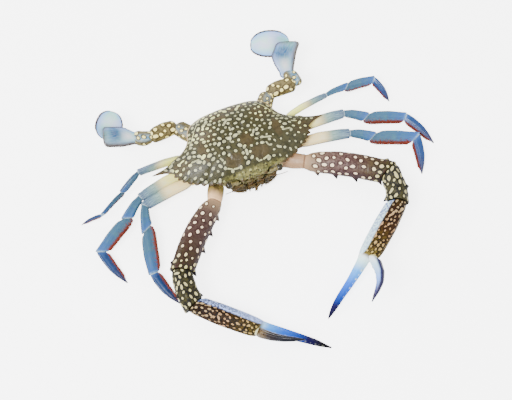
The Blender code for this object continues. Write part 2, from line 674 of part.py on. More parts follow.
# ------------------------------------------------------------------ the whole crab
def main():
    clear_scene()
    crab = make_collection("blue_swimming_crab")
    cutters = make_collection("cutters")
    paint = {name: make_material(name) for name in COLOURS}

    def limb_paint(limb, kind):
        if kind in ("ischium", "coxa"):
            return paint["belly"]
        if kind == "finger":
            return paint["finger"]
        return paint[{"cheliped": "claw", "swimmer": "swimming"}.get(limb, "leg")]

    body = make_empty("body", (0, 0, 0), crab)
    make_carapace(paint["shell"], crab, body)
    make_flap(paint["belly"], crab, body)
    room = make_flap_cutter(paint["belly"], cutters, body)
    make_thorax(paint["belly"], crab, body, room)
    for name, side in SIDES:
        make_eye(name, side, paint["eye"], crab, body)
        make_feeler(name, side, paint["shell"], crab, body)
        make_mouth(name, side, paint["mouth"], crab, body)
        points, steps, empty = make_limb("cheliped", name, side, 12, limb_paint, crab)
        make_palm(points, steps, name, side, limb_paint, crab, empty)
        make_finger(points, steps, name, side, limb_paint, crab, empty)
        for limb in ("leg2", "leg3", "leg4"):
            make_limb(limb, name, side, 8, limb_paint, crab)
        make_limb("swimmer", name, side, 10, limb_paint, crab)


main()
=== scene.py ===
# %% [markdown]
# # Blue swimming crab, life size
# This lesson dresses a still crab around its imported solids. The solids say where every shell
# plate is and how big it is. Here each plate is measured, and built again with a fine skin,
# its ridges, spines, teeth and soft joints, and then painted with procedural materials.
# All of the sizes below are millimetres, and each mesh is scaled to metres as it is made.

import json
from math import cos, pi, radians, sin

import bpy
import numpy as np
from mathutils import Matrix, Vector

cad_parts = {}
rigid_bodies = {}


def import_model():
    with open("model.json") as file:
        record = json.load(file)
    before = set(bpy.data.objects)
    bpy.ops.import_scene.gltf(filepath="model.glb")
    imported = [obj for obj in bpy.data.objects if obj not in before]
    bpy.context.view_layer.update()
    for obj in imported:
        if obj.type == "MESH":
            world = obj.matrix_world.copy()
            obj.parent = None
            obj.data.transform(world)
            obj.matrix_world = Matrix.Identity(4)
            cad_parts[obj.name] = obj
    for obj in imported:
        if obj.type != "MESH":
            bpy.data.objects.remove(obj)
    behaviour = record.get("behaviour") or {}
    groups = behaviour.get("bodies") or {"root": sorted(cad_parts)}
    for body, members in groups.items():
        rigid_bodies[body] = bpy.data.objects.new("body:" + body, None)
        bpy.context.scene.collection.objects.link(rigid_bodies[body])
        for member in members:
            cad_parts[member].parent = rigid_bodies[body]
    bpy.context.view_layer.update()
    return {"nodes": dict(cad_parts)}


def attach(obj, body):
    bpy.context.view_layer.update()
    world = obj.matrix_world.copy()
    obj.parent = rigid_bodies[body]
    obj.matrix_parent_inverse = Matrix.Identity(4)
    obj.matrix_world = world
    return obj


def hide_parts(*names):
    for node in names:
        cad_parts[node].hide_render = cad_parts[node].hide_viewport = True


for leftover in list(bpy.data.objects):
    bpy.data.objects.remove(leftover, do_unlink=True)
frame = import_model()

MM = 0.001
SIDES = (("left", 1), ("right", -1))
GAP = 0.3                        # clear space that the solids keep between neighbours
rng = np.random.default_rng(26)  # one seed, so every run gives the same crab


def add_object(name, data):
    """Some data as an object of the scene."""
    thing = bpy.data.objects.new(name, data)
    bpy.context.scene.collection.objects.link(thing)
    return thing


def place_and_aim(thing, place, way):
    """Put a camera or a lamp in its place, looking along a way."""
    thing.location = place
    thing.rotation_mode = "QUATERNION"
    thing.rotation_quaternion = way.to_track_quat("-Z", "Y")


# %% [markdown]
# ## The camera
# The crab is seen from high up and a little from its right, with a long lens, so that the
# legs on both sides look alike in size. The camera is made first, because everything else
# is judged through it. Its place is worked out from two angles and a distance.

# %% Camera
CAMERA_TURN = radians(-22.4)
CAMERA_RISE = radians(64.1)
CAMERA_AWAY = 990.0
CAMERA_LENS = 82.2
CAMERA_TARGET = Vector((-6.0, -50.0, 15.0))

camera = add_object("camera", bpy.data.cameras.new("camera"))
camera_back = Vector((sin(CAMERA_TURN) * cos(CAMERA_RISE), -cos(CAMERA_TURN) * cos(CAMERA_RISE),
    sin(CAMERA_RISE)))
place_and_aim(camera, (CAMERA_TARGET + camera_back * CAMERA_AWAY) * MM, -camera_back)
camera.data.lens = CAMERA_LENS
camera.data.sensor_width = 36.0
camera.data.clip_start = 0.05
camera.data.clip_end = 20.0
bpy.context.scene.camera = camera
print("camera at", [round(v, 3) for v in camera.location])

# %% [markdown]
# ## Measuring the solids
# A plate could be placed by typing its numbers again, but then two files would have to
# agree. Measuring is safer. Two neighbours face each other across a thin gap, and the
# faces there give the joint between them and the plane of that joint. Cutting a solid
# across its length gives its centre line, width and thickness, station by station.


# %% Read a solid, cut it, and find where two solids face each other
def unit(vector):
    return vector / np.linalg.norm(vector)


def lengths_of(rows):
    return np.linalg.norm(rows, axis=1)


def read(items, field, width=3, kind=float):
    """Numbers of a mesh's points or faces, in rows."""
    values = np.empty(len(items) * width, dtype=kind)
    items.foreach_get(field, values)
    return values.reshape(-1, width)


def solid(node):
    """Corner points in millimetres, and triangles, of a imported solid."""
    mesh = frame["nodes"][node].data
    mesh.calc_loop_triangles()
    return read(mesh.vertices, "co") / MM, read(mesh.loop_triangles, "vertices", kind=np.int32)


def slice_of(shape, place, way):
    """Points where the plane at place, square to way, cuts a solid's surface."""
    points, triangles = shape
    height = (points - place) @ way
    edges = np.vstack((triangles[:, (0, 1)], triangles[:, (1, 2)], triangles[:, (2, 0)]))
    low, high = height[edges[:, 0]], height[edges[:, 1]]
    crossing = low * high < 0
    share = low[crossing] / (low[crossing] - high[crossing])
    start, end = points[edges[crossing, 0]], points[edges[crossing, 1]]
    return start + (end - start) * share[:, None]


def facing(node, neighbour, slack=0.1):
    """Centre and outward normal of the flat face that parts one solid from another."""
    points, triangles = solid(node)
    others = solid(neighbour)[0]
    a, b, c = (points[triangles[:, i]] for i in range(3))
    normals = np.cross(b - a, c - a)
    area = lengths_of(normals)
    normals /= area[:, None]
    level = (a * normals).sum(axis=1)
    behind = (points @ normals.T - level).max(axis=0)
    ahead = (others @ normals.T - level).min(axis=0)
    parting = (behind < slack) & (ahead > 0)
    parting &= ahead < ahead[parting].min() + slack
    share = area[parting, None] / area[parting].sum()
    centre = ((a + b + c)[parting] / 3 * share).sum(axis=0)
    return centre, unit((normals[parting] * share).sum(axis=0))


def middle(points):
    return (points.min(axis=0) + points.max(axis=0)) / 2


# %% Smooth a row of measures, and take narrow spikes out of it
def smoothed(row, sigma):
    """A row of numbers blurred along its length, with its ends held."""
    reach = max(1, int(3 * sigma))
    kernel = np.exp(-0.5 * (np.arange(-reach, reach + 1) / max(sigma, 1e-3)) ** 2)
    before, after = 2 * row[0] - row[reach:0:-1], 2 * row[-1] - row[-2:-reach - 2:-1]
    padded = np.concatenate((before, row, after))
    return np.convolve(padded, kernel / kernel.sum(), mode="valid")


def without_spikes(row, window):
    """Peaks narrower than the window are cut off: the lowest nearby, then the highest."""
    if window < 2:
        return row
    half = window // 2

    def nearby(values, pick):
        wide = np.pad(values, half, mode="edge")
        return pick([wide[i:i + len(values)] for i in range(2 * half + 1)], axis=0)

    return nearby(nearby(row, np.min), np.max)


def distances(row):
    """How far along a line each of its points lies."""
    return np.concatenate(([0], np.cumsum(lengths_of(np.diff(row, axis=0)))))


def closed_blur(row, at, count, blur, reach):
    """A closed outline, read at even steps and blurred. blur and reach are in steps."""
    closed = np.vstack((row, row[:1]))
    even = np.stack([np.interp(np.arange(count) * at[-1] / count, at, closed[:, i])
        for i in (0, 1)], axis=1)
    weights = np.exp(-0.5 * (np.arange(-reach, reach + 1) / blur) ** 2)
    wrapped = np.vstack((even[-reach:], even, even[:reach]))
    return np.stack([np.convolve(wrapped[:, i], weights / weights.sum(), "valid") for i in (0, 1)],
        axis=1)


STATIONS = 81                # places along a solid where it is measured


def measure(shape, start, axes, length, margins=(0.0, 0.0), spike=0.0, blur=1.5):
    """Centre line, half-width and half-thickness at even stations along a solid.

    The margins at the two ends, where a slanting joint cuts the solid, hold the value
    beside them. spike is the width of the spines that are left out of the measure."""
    way, flexor, face = axes
    rows = []
    for at in np.linspace(0, length, STATIONS):
        cut = slice_of(shape, start + way * at, way)
        if margins[0] <= at <= length - margins[1] and len(cut) > 5:
            across, above = (cut - start) @ flexor, (cut - start) @ face
            rows.append((at, across.min(), across.max(), above.min(), above.max()))
    found = np.array(rows).T
    stations = np.linspace(0, length, STATIONS)
    window = int(round(spike / length * STATIONS))
    outer, inner = -without_spikes(-found[1], window), without_spikes(found[2], window)
    under, upper = found[3], found[4]
    lines = [((outer + inner) / 2, True), ((under + upper) / 2, True), ((inner - outer) / 2, False),
        ((upper - under) / 2, False)]
    names = ("across", "above", "width", "thick")
    table = {name: smoothed(extended(stations, found[0], row, straight), blur / length * STATIONS)
        for name, (row, straight) in zip(names, lines)}
    table["along"] = stations
    return table


def extended(stations, at, row, straight):
    """A row measured over part of the stations, held or carried straight on past its ends."""
    values = np.interp(stations, at, row)
    reach = min(6, len(at) - 1)
    if straight and reach > 1:
        for end, inside in ((0, reach), (-1, -1 - reach)):
            slope = (row[inside] - row[end]) / (at[inside] - at[end])
            past = (stations < at[0]) if end == 0 else (stations > at[-1])
            values[past] += slope * (stations[past] - at[end])
    return values


# %% [markdown]
# ## Reading the limbs
# Each limb is a chain. The joints come from the facing solids. One angle tells how far the
# broad face of the limb is rolled: it is the direction in which the arm segment is thinnest,
# because a squarish oval is thinnest exactly across its face.

# %% Limb frames
WALKING = ("leg2", "leg3", "leg4")
LIMBS = {
    "cheliped": ("ischium", "merus", "carpus", "palm"),
    **{leg: ("ischium", "merus", "carpus", "propodus", "dactyl") for leg in WALKING},
    "swimmer": ("coxa", "merus", "carpus", "propodus", "paddle"),
}


def limb_axes(way, side, roll):
    """Directions along a segment, to its flexor edge and out of its upper face."""
    level = unit(side * np.array((way[1], -way[0], 0.0)))
    up = np.cross(level, way)
    up = up if up[2] > 0 else -up
    return way, level * cos(roll) - up * sin(roll), up * cos(roll) + level * sin(roll)


def section_roll(cut, way, side):
    """The roll at which a section is thinnest, from the second moments of its area."""
    _, level, up = limb_axes(way, side, 0.0)
    x, y = ((cut - middle(cut)) @ level), ((cut - middle(cut)) @ up)
    order = np.argsort(np.arctan2(y, x))
    x, y = x[order], y[order]
    ahead_x, ahead_y = np.roll(x, -1), np.roll(y, -1)
    turn = x * ahead_y - ahead_x * y
    xx = (turn * (x * x + x * ahead_x + ahead_x ** 2)).sum()
    yy = (turn * (y * y + y * ahead_y + ahead_y ** 2)).sum()
    xy = (turn * (x * ahead_y + 2 * x * y + 2 * ahead_x * ahead_y + ahead_x * y)).sum() / 2
    broad = 0.5 * np.arctan2(2 * xy, xx - yy)
    return (-broad + radians(30)) % pi - radians(30)


def slant(plane, axes, width, thick):
    """How far a joint's plane reaches along a segment, to each side of its middle."""
    if plane is None:
        return 0.0
    along, across, above = (abs(plane @ axis) for axis in axes)
    return (width * across + thick * above) / along


def root_of(node, start, reach=6.0):
    """Middle of the end of a solid that is nearest to a point."""
    points = solid(node)[0]
    away = lengths_of(points - start)
    return middle(points[away < away.min() + reach])


def hand_way(palm, finger, start):
    """Direction of the palm, from the middles of two sections clear of its spines."""
    shape = solid(palm)
    way = unit(root_of(finger, start) - start)
    for _ in range(3):
        near, far = (middle(slice_of(shape, start + way * reach, way)) for reach in (14, 41))
        way = unit(far - near)
    return way


JOINT_MARGIN = 0.6           # length beside a joint where a solid isn't measured
SPINE_WIDTH = 7.0            # narrower swellings of a claw's outline are left out as spines


def read_segment(segment, end, planes, way, roll):
    """Fill in a segment's axes and its measured sections."""
    length = (end - segment["start"]) @ way
    shape = solid(segment["name"])
    axes = limb_axes(way, segment["side"], roll)
    cut = slice_of(shape, segment["start"] + way * length * 0.5, way)
    width, thick = (np.ptp(cut @ axis) / 2 for axis in axes[1:])
    slants = [slant(plane, axes, width, thick) for plane in planes]
    margins = [reach + JOINT_MARGIN for reach in slants]
    if planes[1] is None:
        margins[1] = 0.0
    spike = SPINE_WIDTH if segment["limb"] == "cheliped" else 0.0
    segment.update(axes=axes, length=length, planes=planes, roll=roll, end=end, slants=slants,
        table=measure(shape, segment["start"], axes, length, margins, spike))


def sections(segment, along, *names):
    """Measured values at places along a segment."""
    table = segment["table"]
    return [np.interp(along, table["along"], table[name]) for name in names]


def centre_at(segment, along):
    """A point of a segment's measured centre line."""
    way, flexor, face = segment["axes"]
    across, above = sections(segment, along, "across", "above")
    return segment["start"] + way * along + flexor * across + face * above


def read_limb(limb, flank, side):
    """A limb's segments, in order from the body, each with its joints, axes and sections."""
    names = [f"{limb}_{flank}_{kind}" for kind in LIMBS[limb]]
    seat, normal = facing(names[0], "thorax")
    joints, planes = [seat], [-normal]
    for near, far in zip(names, names[1:]):
        centre, normal = facing(near, far)
        joints.append(centre)
        planes.append(normal)
    last = solid(names[-1])[0]
    joints.append(last[np.argmax(lengths_of(last - joints[-1]))])
    planes.append(None)
    segments = [{"name": name, "limb": limb, "kind": kind, "side": side}
        for kind, name in zip(LIMBS[limb], names)]
    for _ in range(3):
        ways = [unit(b - a) for a, b in zip(joints, joints[1:])]
        if limb == "cheliped":
            ways[-1] = hand_way(names[-1], f"cheliped_{flank}_finger", joints[-2])
        place = (joints[1] + joints[2]) / 2
        roll = section_roll(slice_of(solid(names[1]), place, ways[1]), ways[1], side)
        for i, segment in enumerate(segments):
            segment["start"] = joints[i]
            if segment["kind"] == "palm":
                cut = slice_of(solid(names[-1]), joints[i] + ways[i] * 28, ways[i])
                roll = section_roll(cut, ways[i], side)
            read_segment(segment, joints[i + 1], (planes[i], planes[i + 1]), ways[i], roll)
        for i in range(1, len(segments)):
            ends = (centre_at(segments[i - 1], segments[i - 1]["length"]),
                centre_at(segments[i], 0.0))
            moved = sum(ends) / 2
            joints[i] = moved - planes[i] * ((moved - joints[i]) @ planes[i])
    print(f"{limb} {flank}: roll", [round(float(np.degrees(s["roll"]))) for s in segments[1:]],
        "lengths", [round(float(s["length"]), 1) for s in segments])
    return {segment["kind"]: segment for segment in segments}


limbs = {(limb, flank): read_limb(limb, flank, side) for limb in LIMBS for flank, side in SIDES}

# %% [markdown]
# ## Meshes from rings
# A crab's limb is a chain of stiff tubes. A tube is easiest to make as a row of rings that
# are skinned with four-sided faces, because then every point knows how far along the tube it
# is and which side of it it faces. Those two facts are kept as mesh attributes, and the
# materials read them, so that the paint follows the shell and not the room.


# %% Make a piece from points and faces
def make_piece(name, points, quads, triangles, finish, nodes, layers, uv=None):
    """A smooth closed mesh that rides on the crab's body and stands for its solids. A layer
    keeps a value for each point, or one value for them all."""
    fans = np.vstack((quads[:, :3], quads[:, (0, 2, 3)], triangles))
    a, b, c = (points[fans[:, i]] - points.mean(axis=0) for i in range(3))
    if (a * np.cross(b, c)).sum() < 0:
        quads, triangles = quads[:, ::-1], triangles[:, ::-1]
    mesh = bpy.data.meshes.new(name)
    mesh.vertices.add(len(points))
    mesh.vertices.foreach_set("co", (points * MM).ravel())
    mesh.loops.add(quads.size + triangles.size)
    mesh.loops.foreach_set("vertex_index", np.concatenate((quads.ravel(), triangles.ravel())))
    mesh.polygons.add(len(quads) + len(triangles))
    starts = np.concatenate((np.arange(len(quads)) * 4, quads.size + np.arange(len(triangles)) * 3))
    mesh.polygons.foreach_set("loop_start", starts)
    mesh.update(calc_edges=True)
    mesh.validate()
    mesh.shade_smooth()
    for layer, values in layers.items():
        attribute = mesh.attributes.new(layer, "FLOAT", "POINT")
        attribute.data.foreach_set("value", np.full(len(points), values, dtype=np.float32))
    if uv is not None:
        corners = read(mesh.loops, "vertex_index", 1, np.int32).ravel()
        mesh.uv_layers.new(name="OFBake").uv.foreach_set("vector",
            uv[corners].astype(np.float32).ravel())
    mesh.materials.append(finishes[finish])
    piece = add_object(name, mesh)
    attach(piece, "root")
    if nodes:
        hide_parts(*nodes)


def skin(rings):
    """Points and faces of a closed tube through rings of equal count, with a pole at each end."""
    rows, count = rings.shape[:2]
    points = np.vstack((rings.reshape(-1, 3), rings[0].mean(axis=0), rings[-1].mean(axis=0)))
    i, j = np.meshgrid(np.arange(rows - 1) * count, np.arange(count), indexing="ij")
    ahead = (j + 1) % count
    quads = np.stack((i + j, i + ahead, i + count + ahead, i + count + j), axis=-1).reshape(-1, 4)
    around, after = np.arange(count), (np.arange(count) + 1) % count
    pole, last = rows * count, (rows - 1) * count
    start = np.stack((np.full(count, pole), after, around), axis=-1)
    end = np.stack((np.full(count, pole + 1), last + around, last + after), axis=-1)
    return points, quads, np.vstack((start, end))


def with_poles(values):
    """A layer over rings, with a value for each of the two poles."""
    return np.concatenate((values.ravel(), [values[0].mean(), values[-1].mean()]))


def ease(value, start=0.0, end=1.0):
    share = np.clip((value - start) / (end - start), 0, 1)
    return share * share * (3 - 2 * share)


def bump(value, centre, half):
    """A bell that is 1 at the centre and close to 0 at twice half."""
    return np.exp(-((value - centre) / half) ** 2)


def ridges(turn, *rows):
    """Ridges that run along a tube: (height, angle round it, half width in degrees)."""
    return sum(height * np.exp(-(((turn - degrees + 180) % 360 - 180) / half) ** 2)
        for height, degrees, half in rows)


# %% [markdown]
# ## The skin of one segment
# Each segment begins with a rounded head that sits in the socket of the segment before it,
# and ends in a socket of its own: a rolled rim, and inside it the soft pleated skin that lets
# the joint bend. The rings near a bent joint lean until they lie in the joint's plane, so the
# two shells meet evenly all round.

# %% Rings of a segment
SQUARENESS = 2.4       # between an oval (2) and a box (many)
# (distance past the joint, share of the full size) for the head and for the socket
HEAD = ((-2.6, 0.04), (-2.4, 0.36), (-1.8, 0.58), (-0.9, 0.72), (-0.1, 0.80), (0.5, 0.86))
SOCKET = ((-0.32, 0.92), (-0.14, 0.90), (-0.08, 0.875), (-0.2, 0.84), (-0.7, 0.80), (-1.2, 0.68),
    (-1.4, 0.4), (-1.4, 0.04))
SOCKET_RIM = 4         # how many of those belong to the hard rim
ROUND_ROWS = (0.02, 0.1, 0.25, 0.5, 0.8)    # distances of the rows next to a rounded end


def segment_rows(segment, step, neck):
    """Rows along a segment: distance, size and softness."""
    length = segment["length"]
    round_start, round_end = segment.get("rounded", (False, False))
    if round_start:
        rows = [(at, 1.0, 0.0) for at in ROUND_ROWS]
    else:
        rows = [(at, size, 1.0) for at, size in HEAD]
    open_end = segment["planes"][1] is not None
    last = length - (0.6 if open_end else 1.1 if round_end else 0.0)
    for at in np.linspace(1.1, last, int((last - 1.1) / step) + 1):
        rounding = 0.07 * ease(at, length - 2.2, length) if open_end else 0.0
        size = 1.0 if round_start else 0.88 + 0.12 * ease(at, 0.6, neck)
        rows.append((at, size - rounding, 0.0))
    if open_end:
        rows += [(length + at, size, float(i >= SOCKET_RIM)) for i, (at, size) in enumerate(SOCKET)]
    elif round_end:
        rows += [(length - at, 1.0, 0.0) for at in reversed(ROUND_ROWS)]
    return np.array(rows).T


def round_off(segment, start, end, radius, power):
    """Give a segment free, rounded ends that reach some way past its joints."""
    way = segment["axes"][0]
    before, after = start or 0.0, end or 0.0
    length = segment["length"] + before + after
    along = np.linspace(0, length, STATIONS)
    share = np.ones(STATIONS)
    for inside, free in ((along, start is not None), (length - along, end is not None)):
        if free:
            share *= (1 - np.clip(1 - inside / radius, 0, 1) ** power) ** (1 / power)
    names = ("across", "above", "width", "thick")
    table = dict(zip(names, sections(segment, along - before, *names)), along=along)
    for name in ("width", "thick"):
        table[name] *= share
    planes = [plane if free is None else None for plane, free in zip(segment["planes"],
        (start, end))]
    segment.update(start=segment["start"] - way * before, end=segment["end"] + way * after,
        length=length, table=table, planes=planes, rounded=(start is not None, end is not None))


def segment_skin(segment, net, neck, relief):
    """Rings of points for a segment, with its layers. net is the step from ring to ring, the
    points round a ring, and the height of the collar before a joint."""
    step, around, collar = net
    way, flexor, face = segment["axes"]
    length = segment["length"]
    at, size, soft = segment_rows(segment, step, neck)
    across, above, width, thick = (row[:, None] for row in sections(segment, at, "across", "above",
        "width", "thick"))
    turn = np.arange(around) * 2 * pi / around
    y, z = (np.sign(part) * np.abs(part) ** (2 / SQUARENESS) * half * size[:, None]
        for part, half in ((np.cos(turn), width), (np.sin(turn), thick)))
    raised = np.zeros_like(y)
    if relief is not None:
        raised = raised + relief(at[:, None], length, np.degrees(turn)[None, :])
    if segment["planes"][1] is not None:
        for height, back, half in ((1.0, 0.8, 0.8), (-0.7, 2.9, 0.9)):
            raised = raised + height * collar * bump(length - at, back, half)[:, None]
    raised = raised * ease(at, 0.0, 2.5)[:, None] * (1 - soft[:, None])
    normal_y = np.cos(turn) / np.maximum(width, 0.3)
    normal_z = np.sin(turn) / np.maximum(thick, 0.3)
    scale = raised / np.hypot(normal_y, normal_z)
    y, z = across + y + normal_y * scale, above + z + normal_z * scale
    along = np.repeat(at[:, None], around, axis=1)
    leaned = along.copy()
    joints = zip(segment["planes"], (segment["start"], segment["end"]))
    for end, (plane, point) in enumerate(joints):
        if plane is None:
            continue
        offset = point - segment["start"]
        meets = (offset @ plane - y * (flexor @ plane) - z * (face @ plane)) / (way @ plane)
        inside = along if end == 0 else length - along
        weight = 1 - ease(inside, 0.0, 1.9 * segment["slants"][end] + 1.6)
        leaned += weight * (meets - (0.0 if end == 0 else length))
    rings = (segment["start"] + leaned[..., None] * way + y[..., None] * flexor
        + z[..., None] * face)
    segment.update(rings=rings, row_along=at / length)
    layers = np.broadcast_arrays(np.clip(along / length, 0, 1), np.cos(turn), np.sin(turn),
        soft[:, None])
    return rings, dict(zip(("along", "flexor", "upper", "soft"), layers))


# %% [markdown]
# ## Spots
# The shell is covered in pale spots with dark rims. A texture of cells would give spots
# everywhere, all alike. Here the spots are strewn by rule instead: each place has its own
# spacing and size, and no spot comes nearer to another than that. Every point of the mesh
# keeps its distance to the nearest spot, in spot sizes, and the material draws the edge
# where that distance passes 1, so the edge stays crisp at any size.


# %% Strew spots and keep the distance to them
def strew(points, spacing, tries=4000):
    """Indices of points at least their own spacing apart; where spacing is 0 there are none."""
    chosen = []
    for index in rng.permutation(np.flatnonzero(spacing > 0))[:tries]:
        apart = lengths_of(points[chosen] - points[index])
        if not len(chosen) or (apart > (spacing[chosen] + spacing[index]) / 2).all():
            chosen.append(index)
    return np.array(chosen, dtype=int)


def spot_field(points, centres, sizes, ways, stretches):
    """Distance from each point to the nearest spot, in sizes of that spot."""
    nearest = np.full(len(points), 9.0)
    for centre, size, way, stretch in zip(centres, sizes, ways, stretches):
        offset = points - centre
        close = np.abs(offset).max(axis=1) < 4 * size * stretch
        apart = offset[close]
        along = apart @ way
        square = (apart ** 2).sum(axis=1) - along ** 2
        distance = np.sqrt(np.maximum(square, 0) + (along / stretch) ** 2) / size
        nearest[close] = np.minimum(nearest[close], distance)
    return nearest


def line_field(points, lines, far=9.0):
    """Distance from each point to the nearest of some polylines, in half-widths of each."""
    nearest = np.full(len(points), far)
    for line, half in lines:
        for start, end in zip(line, line[1:]):
            start, end = np.array(start, float), np.array(end, float)
            span = end - start
            share = np.clip(((points - start) @ span) / (span @ span), 0, 1)
            distance = lengths_of(points - start - share[:, None] * span) / half
            nearest = np.minimum(nearest, distance)
    return nearest


def raise_spines(points, spines):
    """Pull a skin out into spines: (foot, direction, radius of the foot, height)."""
    moved = points.copy()
    tips = np.zeros(len(points))
    for foot, way, radius, height in spines:
        share = np.clip(1 - lengths_of(points - foot) / radius, 0, 1)
        moved += (share ** 1.4 * height)[:, None] * way
        tips = np.maximum(tips, share)
    return moved, tips

# %% [markdown]
# ## Paint
# The finishes share a few effects: spots with dark rims, a cloudy mottle, and the fine
# granules that make a crab's shell feel rough. Each of these is one shader node group, built
# once and placed in each material with its own values. The shader itself stays outside the
# groups. Colours are written as they should be seen in the finished picture. The studio's
# light and the film curve are undone here, which gives the paint itself.


# %% Node helpers
# The film curve of the picture: how much light is seen at which level, 0 to 255.
SEEN = (0, 19, 32, 51, 77, 96, 118, 135, 153, 169, 184, 196, 208, 217, 225, 233, 245)
LIGHT = (0, 0.01, 0.02, 0.04, 0.08, 0.12, 0.18, 0.25, 0.35, 0.5, 0.7, 1.0, 1.4, 2.0, 2.8, 4.0, 8.0)
STUDIO = 2.6                 # the light that a pure white surface sends back in this studio
SHEEN = 0.022                # the light that gloss adds to every colour
open_tree = [None]           # the shader tree to which the helpers below add their nodes


def paint(red, green, blue):
    """The paint of a surface that is to be seen as a screen colour, 0 to 255, in the studio."""
    light = np.interp((red, green, blue), SEEN, LIGHT)
    return tuple(float(v) for v in np.clip((light - SHEEN) / STUDIO, 0.002, 0.92)) + (1.0,)


def fill(node, inputs):
    """Fill a node's sockets. A text names a layer that the mesh keeps at its points, three
    numbers are a colour as seen, and a socket is linked."""
    for key, value in inputs.items():
        socket = node.inputs[key]
        if isinstance(value, str):
            value = put("ShaderNodeAttribute", attribute_name=value).outputs["Fac"]
        if isinstance(value, bpy.types.NodeSocket):
            open_tree[0].links.new(value, socket)
        else:
            is_paint = socket.type == "RGBA" and len(value) == 3
            socket.default_value = paint(*value) if is_paint else value


def put(kind, inputs=None, **settings):
    """A new node of the open tree, with its settings and its sockets."""
    node = open_tree[0].nodes.new(kind)
    for key, value in settings.items():
        setattr(node, key, value)
    fill(node, inputs or {})
    return node


def mixed(share, low, high):
    """A colour between two colours."""
    return put("ShaderNodeMix", {0: share, 6: low, 7: high}, data_type="RGBA").outputs[2]


def maths(operation, first, second=0.0):
    return put("ShaderNodeMath", {0: first, 1: second}, operation=operation).outputs[0]


def times(first, second):
    return maths("MULTIPLY", first, second)


def plus(first, second):
    return maths("ADD", first, second)


def ranged(value, low, high, to_low=0.0, to_high=1.0):
    """A value carried smoothly from one range to another, and held at its ends."""
    return put("ShaderNodeMapRange", {"Value": value, "From Min": low, "From Max": high,
        "To Min": to_low, "To Max": to_high}, interpolation_type="SMOOTHSTEP").outputs["Result"]


def ramp(share, *stops):
    """A colour read off a row of stops: place, red, green and blue."""
    node = put("ShaderNodeValToRGB", {"Fac": share})
    elements = node.color_ramp.elements
    while len(elements) < len(stops):
        elements.new(1.0)
    for element, (place, *colour) in zip(elements, stops):
        element.position = place
        element.color = paint(*colour)
    return node.outputs["Color"]


def noise(scale, detail=3.0, distortion=0.0, vector=None):
    place = vector or put("ShaderNodeTexCoord").outputs["Object"]
    return put("ShaderNodeTexNoise", {"Vector": place, "Scale": scale, "Detail": detail,
        "Distortion": distortion}).outputs["Fac"]


def cells(scale):
    """The outputs of a pattern of small cells."""
    place = put("ShaderNodeTexCoord").outputs["Object"]
    return put("ShaderNodeTexVoronoi", {"Vector": place, "Scale": scale}, feature="F1").outputs


def spaced(key):
    """The name of a socket: rim_width is Rim Width."""
    return key.replace("_", " ").title()


def new_group(name, result, recipe, **inputs):
    """A shader group with one result, which a recipe makes from inputs with plain values."""
    group = bpy.data.node_groups.new(name, "ShaderNodeTree")
    for key, value in inputs.items():
        kind = FLOAT if isinstance(value, float) else COLOUR
        socket = group.interface.new_socket(spaced(key), in_out="INPUT", socket_type=kind)
        socket.default_value = value
    kind = COLOUR if result == "Color" else FLOAT
    group.interface.new_socket(result, in_out="OUTPUT", socket_type=kind)
    open_tree[0] = group
    made = recipe(group.nodes.new("NodeGroupInput").outputs)
    group.links.new(made, group.nodes.new("NodeGroupOutput").inputs[0])
    return group


FLOAT, COLOUR = "NodeSocketFloat", "NodeSocketColor"
WHITE = (1.0, 1.0, 1.0, 1.0)


# %% Group: pale spots with dark rims
def spots_recipe(given):
    wave = times(maths("SUBTRACT", noise(given["Wobble Scale"]), 0.5), given["Wobble"])
    field = plus(given["Field"], wave)
    rim = ranged(field, 1.1, plus(1.25, given["Rim Width"]), 1.0, 0.0)
    ground = mixed(rim, given["Ground"], given["Rim"])
    return mixed(ranged(field, 0.86, 1.1, 1.0, 0.0), ground, given["Spot"])


spots_group = new_group("pale_spots", "Color", spots_recipe, field=9.0, ground=WHITE, rim=WHITE,
    spot=WHITE, rim_width=0.5, wobble=0.4, wobble_scale=600.0)


# %% Group: cloudy mottle
def mottle_recipe(given):
    cloud = noise(given["Scale"], detail=6.0, distortion=0.4)
    share = times(ranged(cloud, 0.40, 0.64), given["Amount"])
    return mixed(share, given["Color"], given["Other"])


mottle_group = new_group("mottle", "Color", mottle_recipe, color=WHITE, other=WHITE, scale=120.0,
    amount=0.5)


# %% Group: granules, with fine pores between them
def granule_recipe(given):
    grain = ranged(cells(given["Scale"])["Distance"], 0.0, 0.62, 1.0, 0.0)
    pores = noise(times(given["Scale"], 3.1))
    return plus(grain, times(pores, given["Pores"]))


granule_group = new_group("granules", "Height", granule_recipe, scale=900.0, pores=0.3)
print("groups:", [group.name for group in bpy.data.node_groups])


# %% One shell finish
def use_group(group, **inputs):
    node = put("ShaderNodeGroup", node_tree=group)
    fill(node, {spaced(key): value for key, value in inputs.items()})
    return node.outputs[0]


def mottled(color, other, scale, amount):
    return use_group(mottle_group, color=color, other=other, scale=scale, amount=amount)


def spotted(ground, rim, spot, rim_width, wobble, scale):
    """Ground with pale spots, where the mesh says how far the nearest spot is."""
    return use_group(spots_group, field="spot", ground=ground, rim=rim, spot=spot,
        rim_width=rim_width, wobble=wobble, wobble_scale=scale)


def new_material(name):
    """A material, whose tree is now the open one, and its shader."""
    material = bpy.data.materials.new(name)
    material.use_nodes = True
    open_tree[0] = material.node_tree
    return material, material.node_tree.nodes["Principled BSDF"]


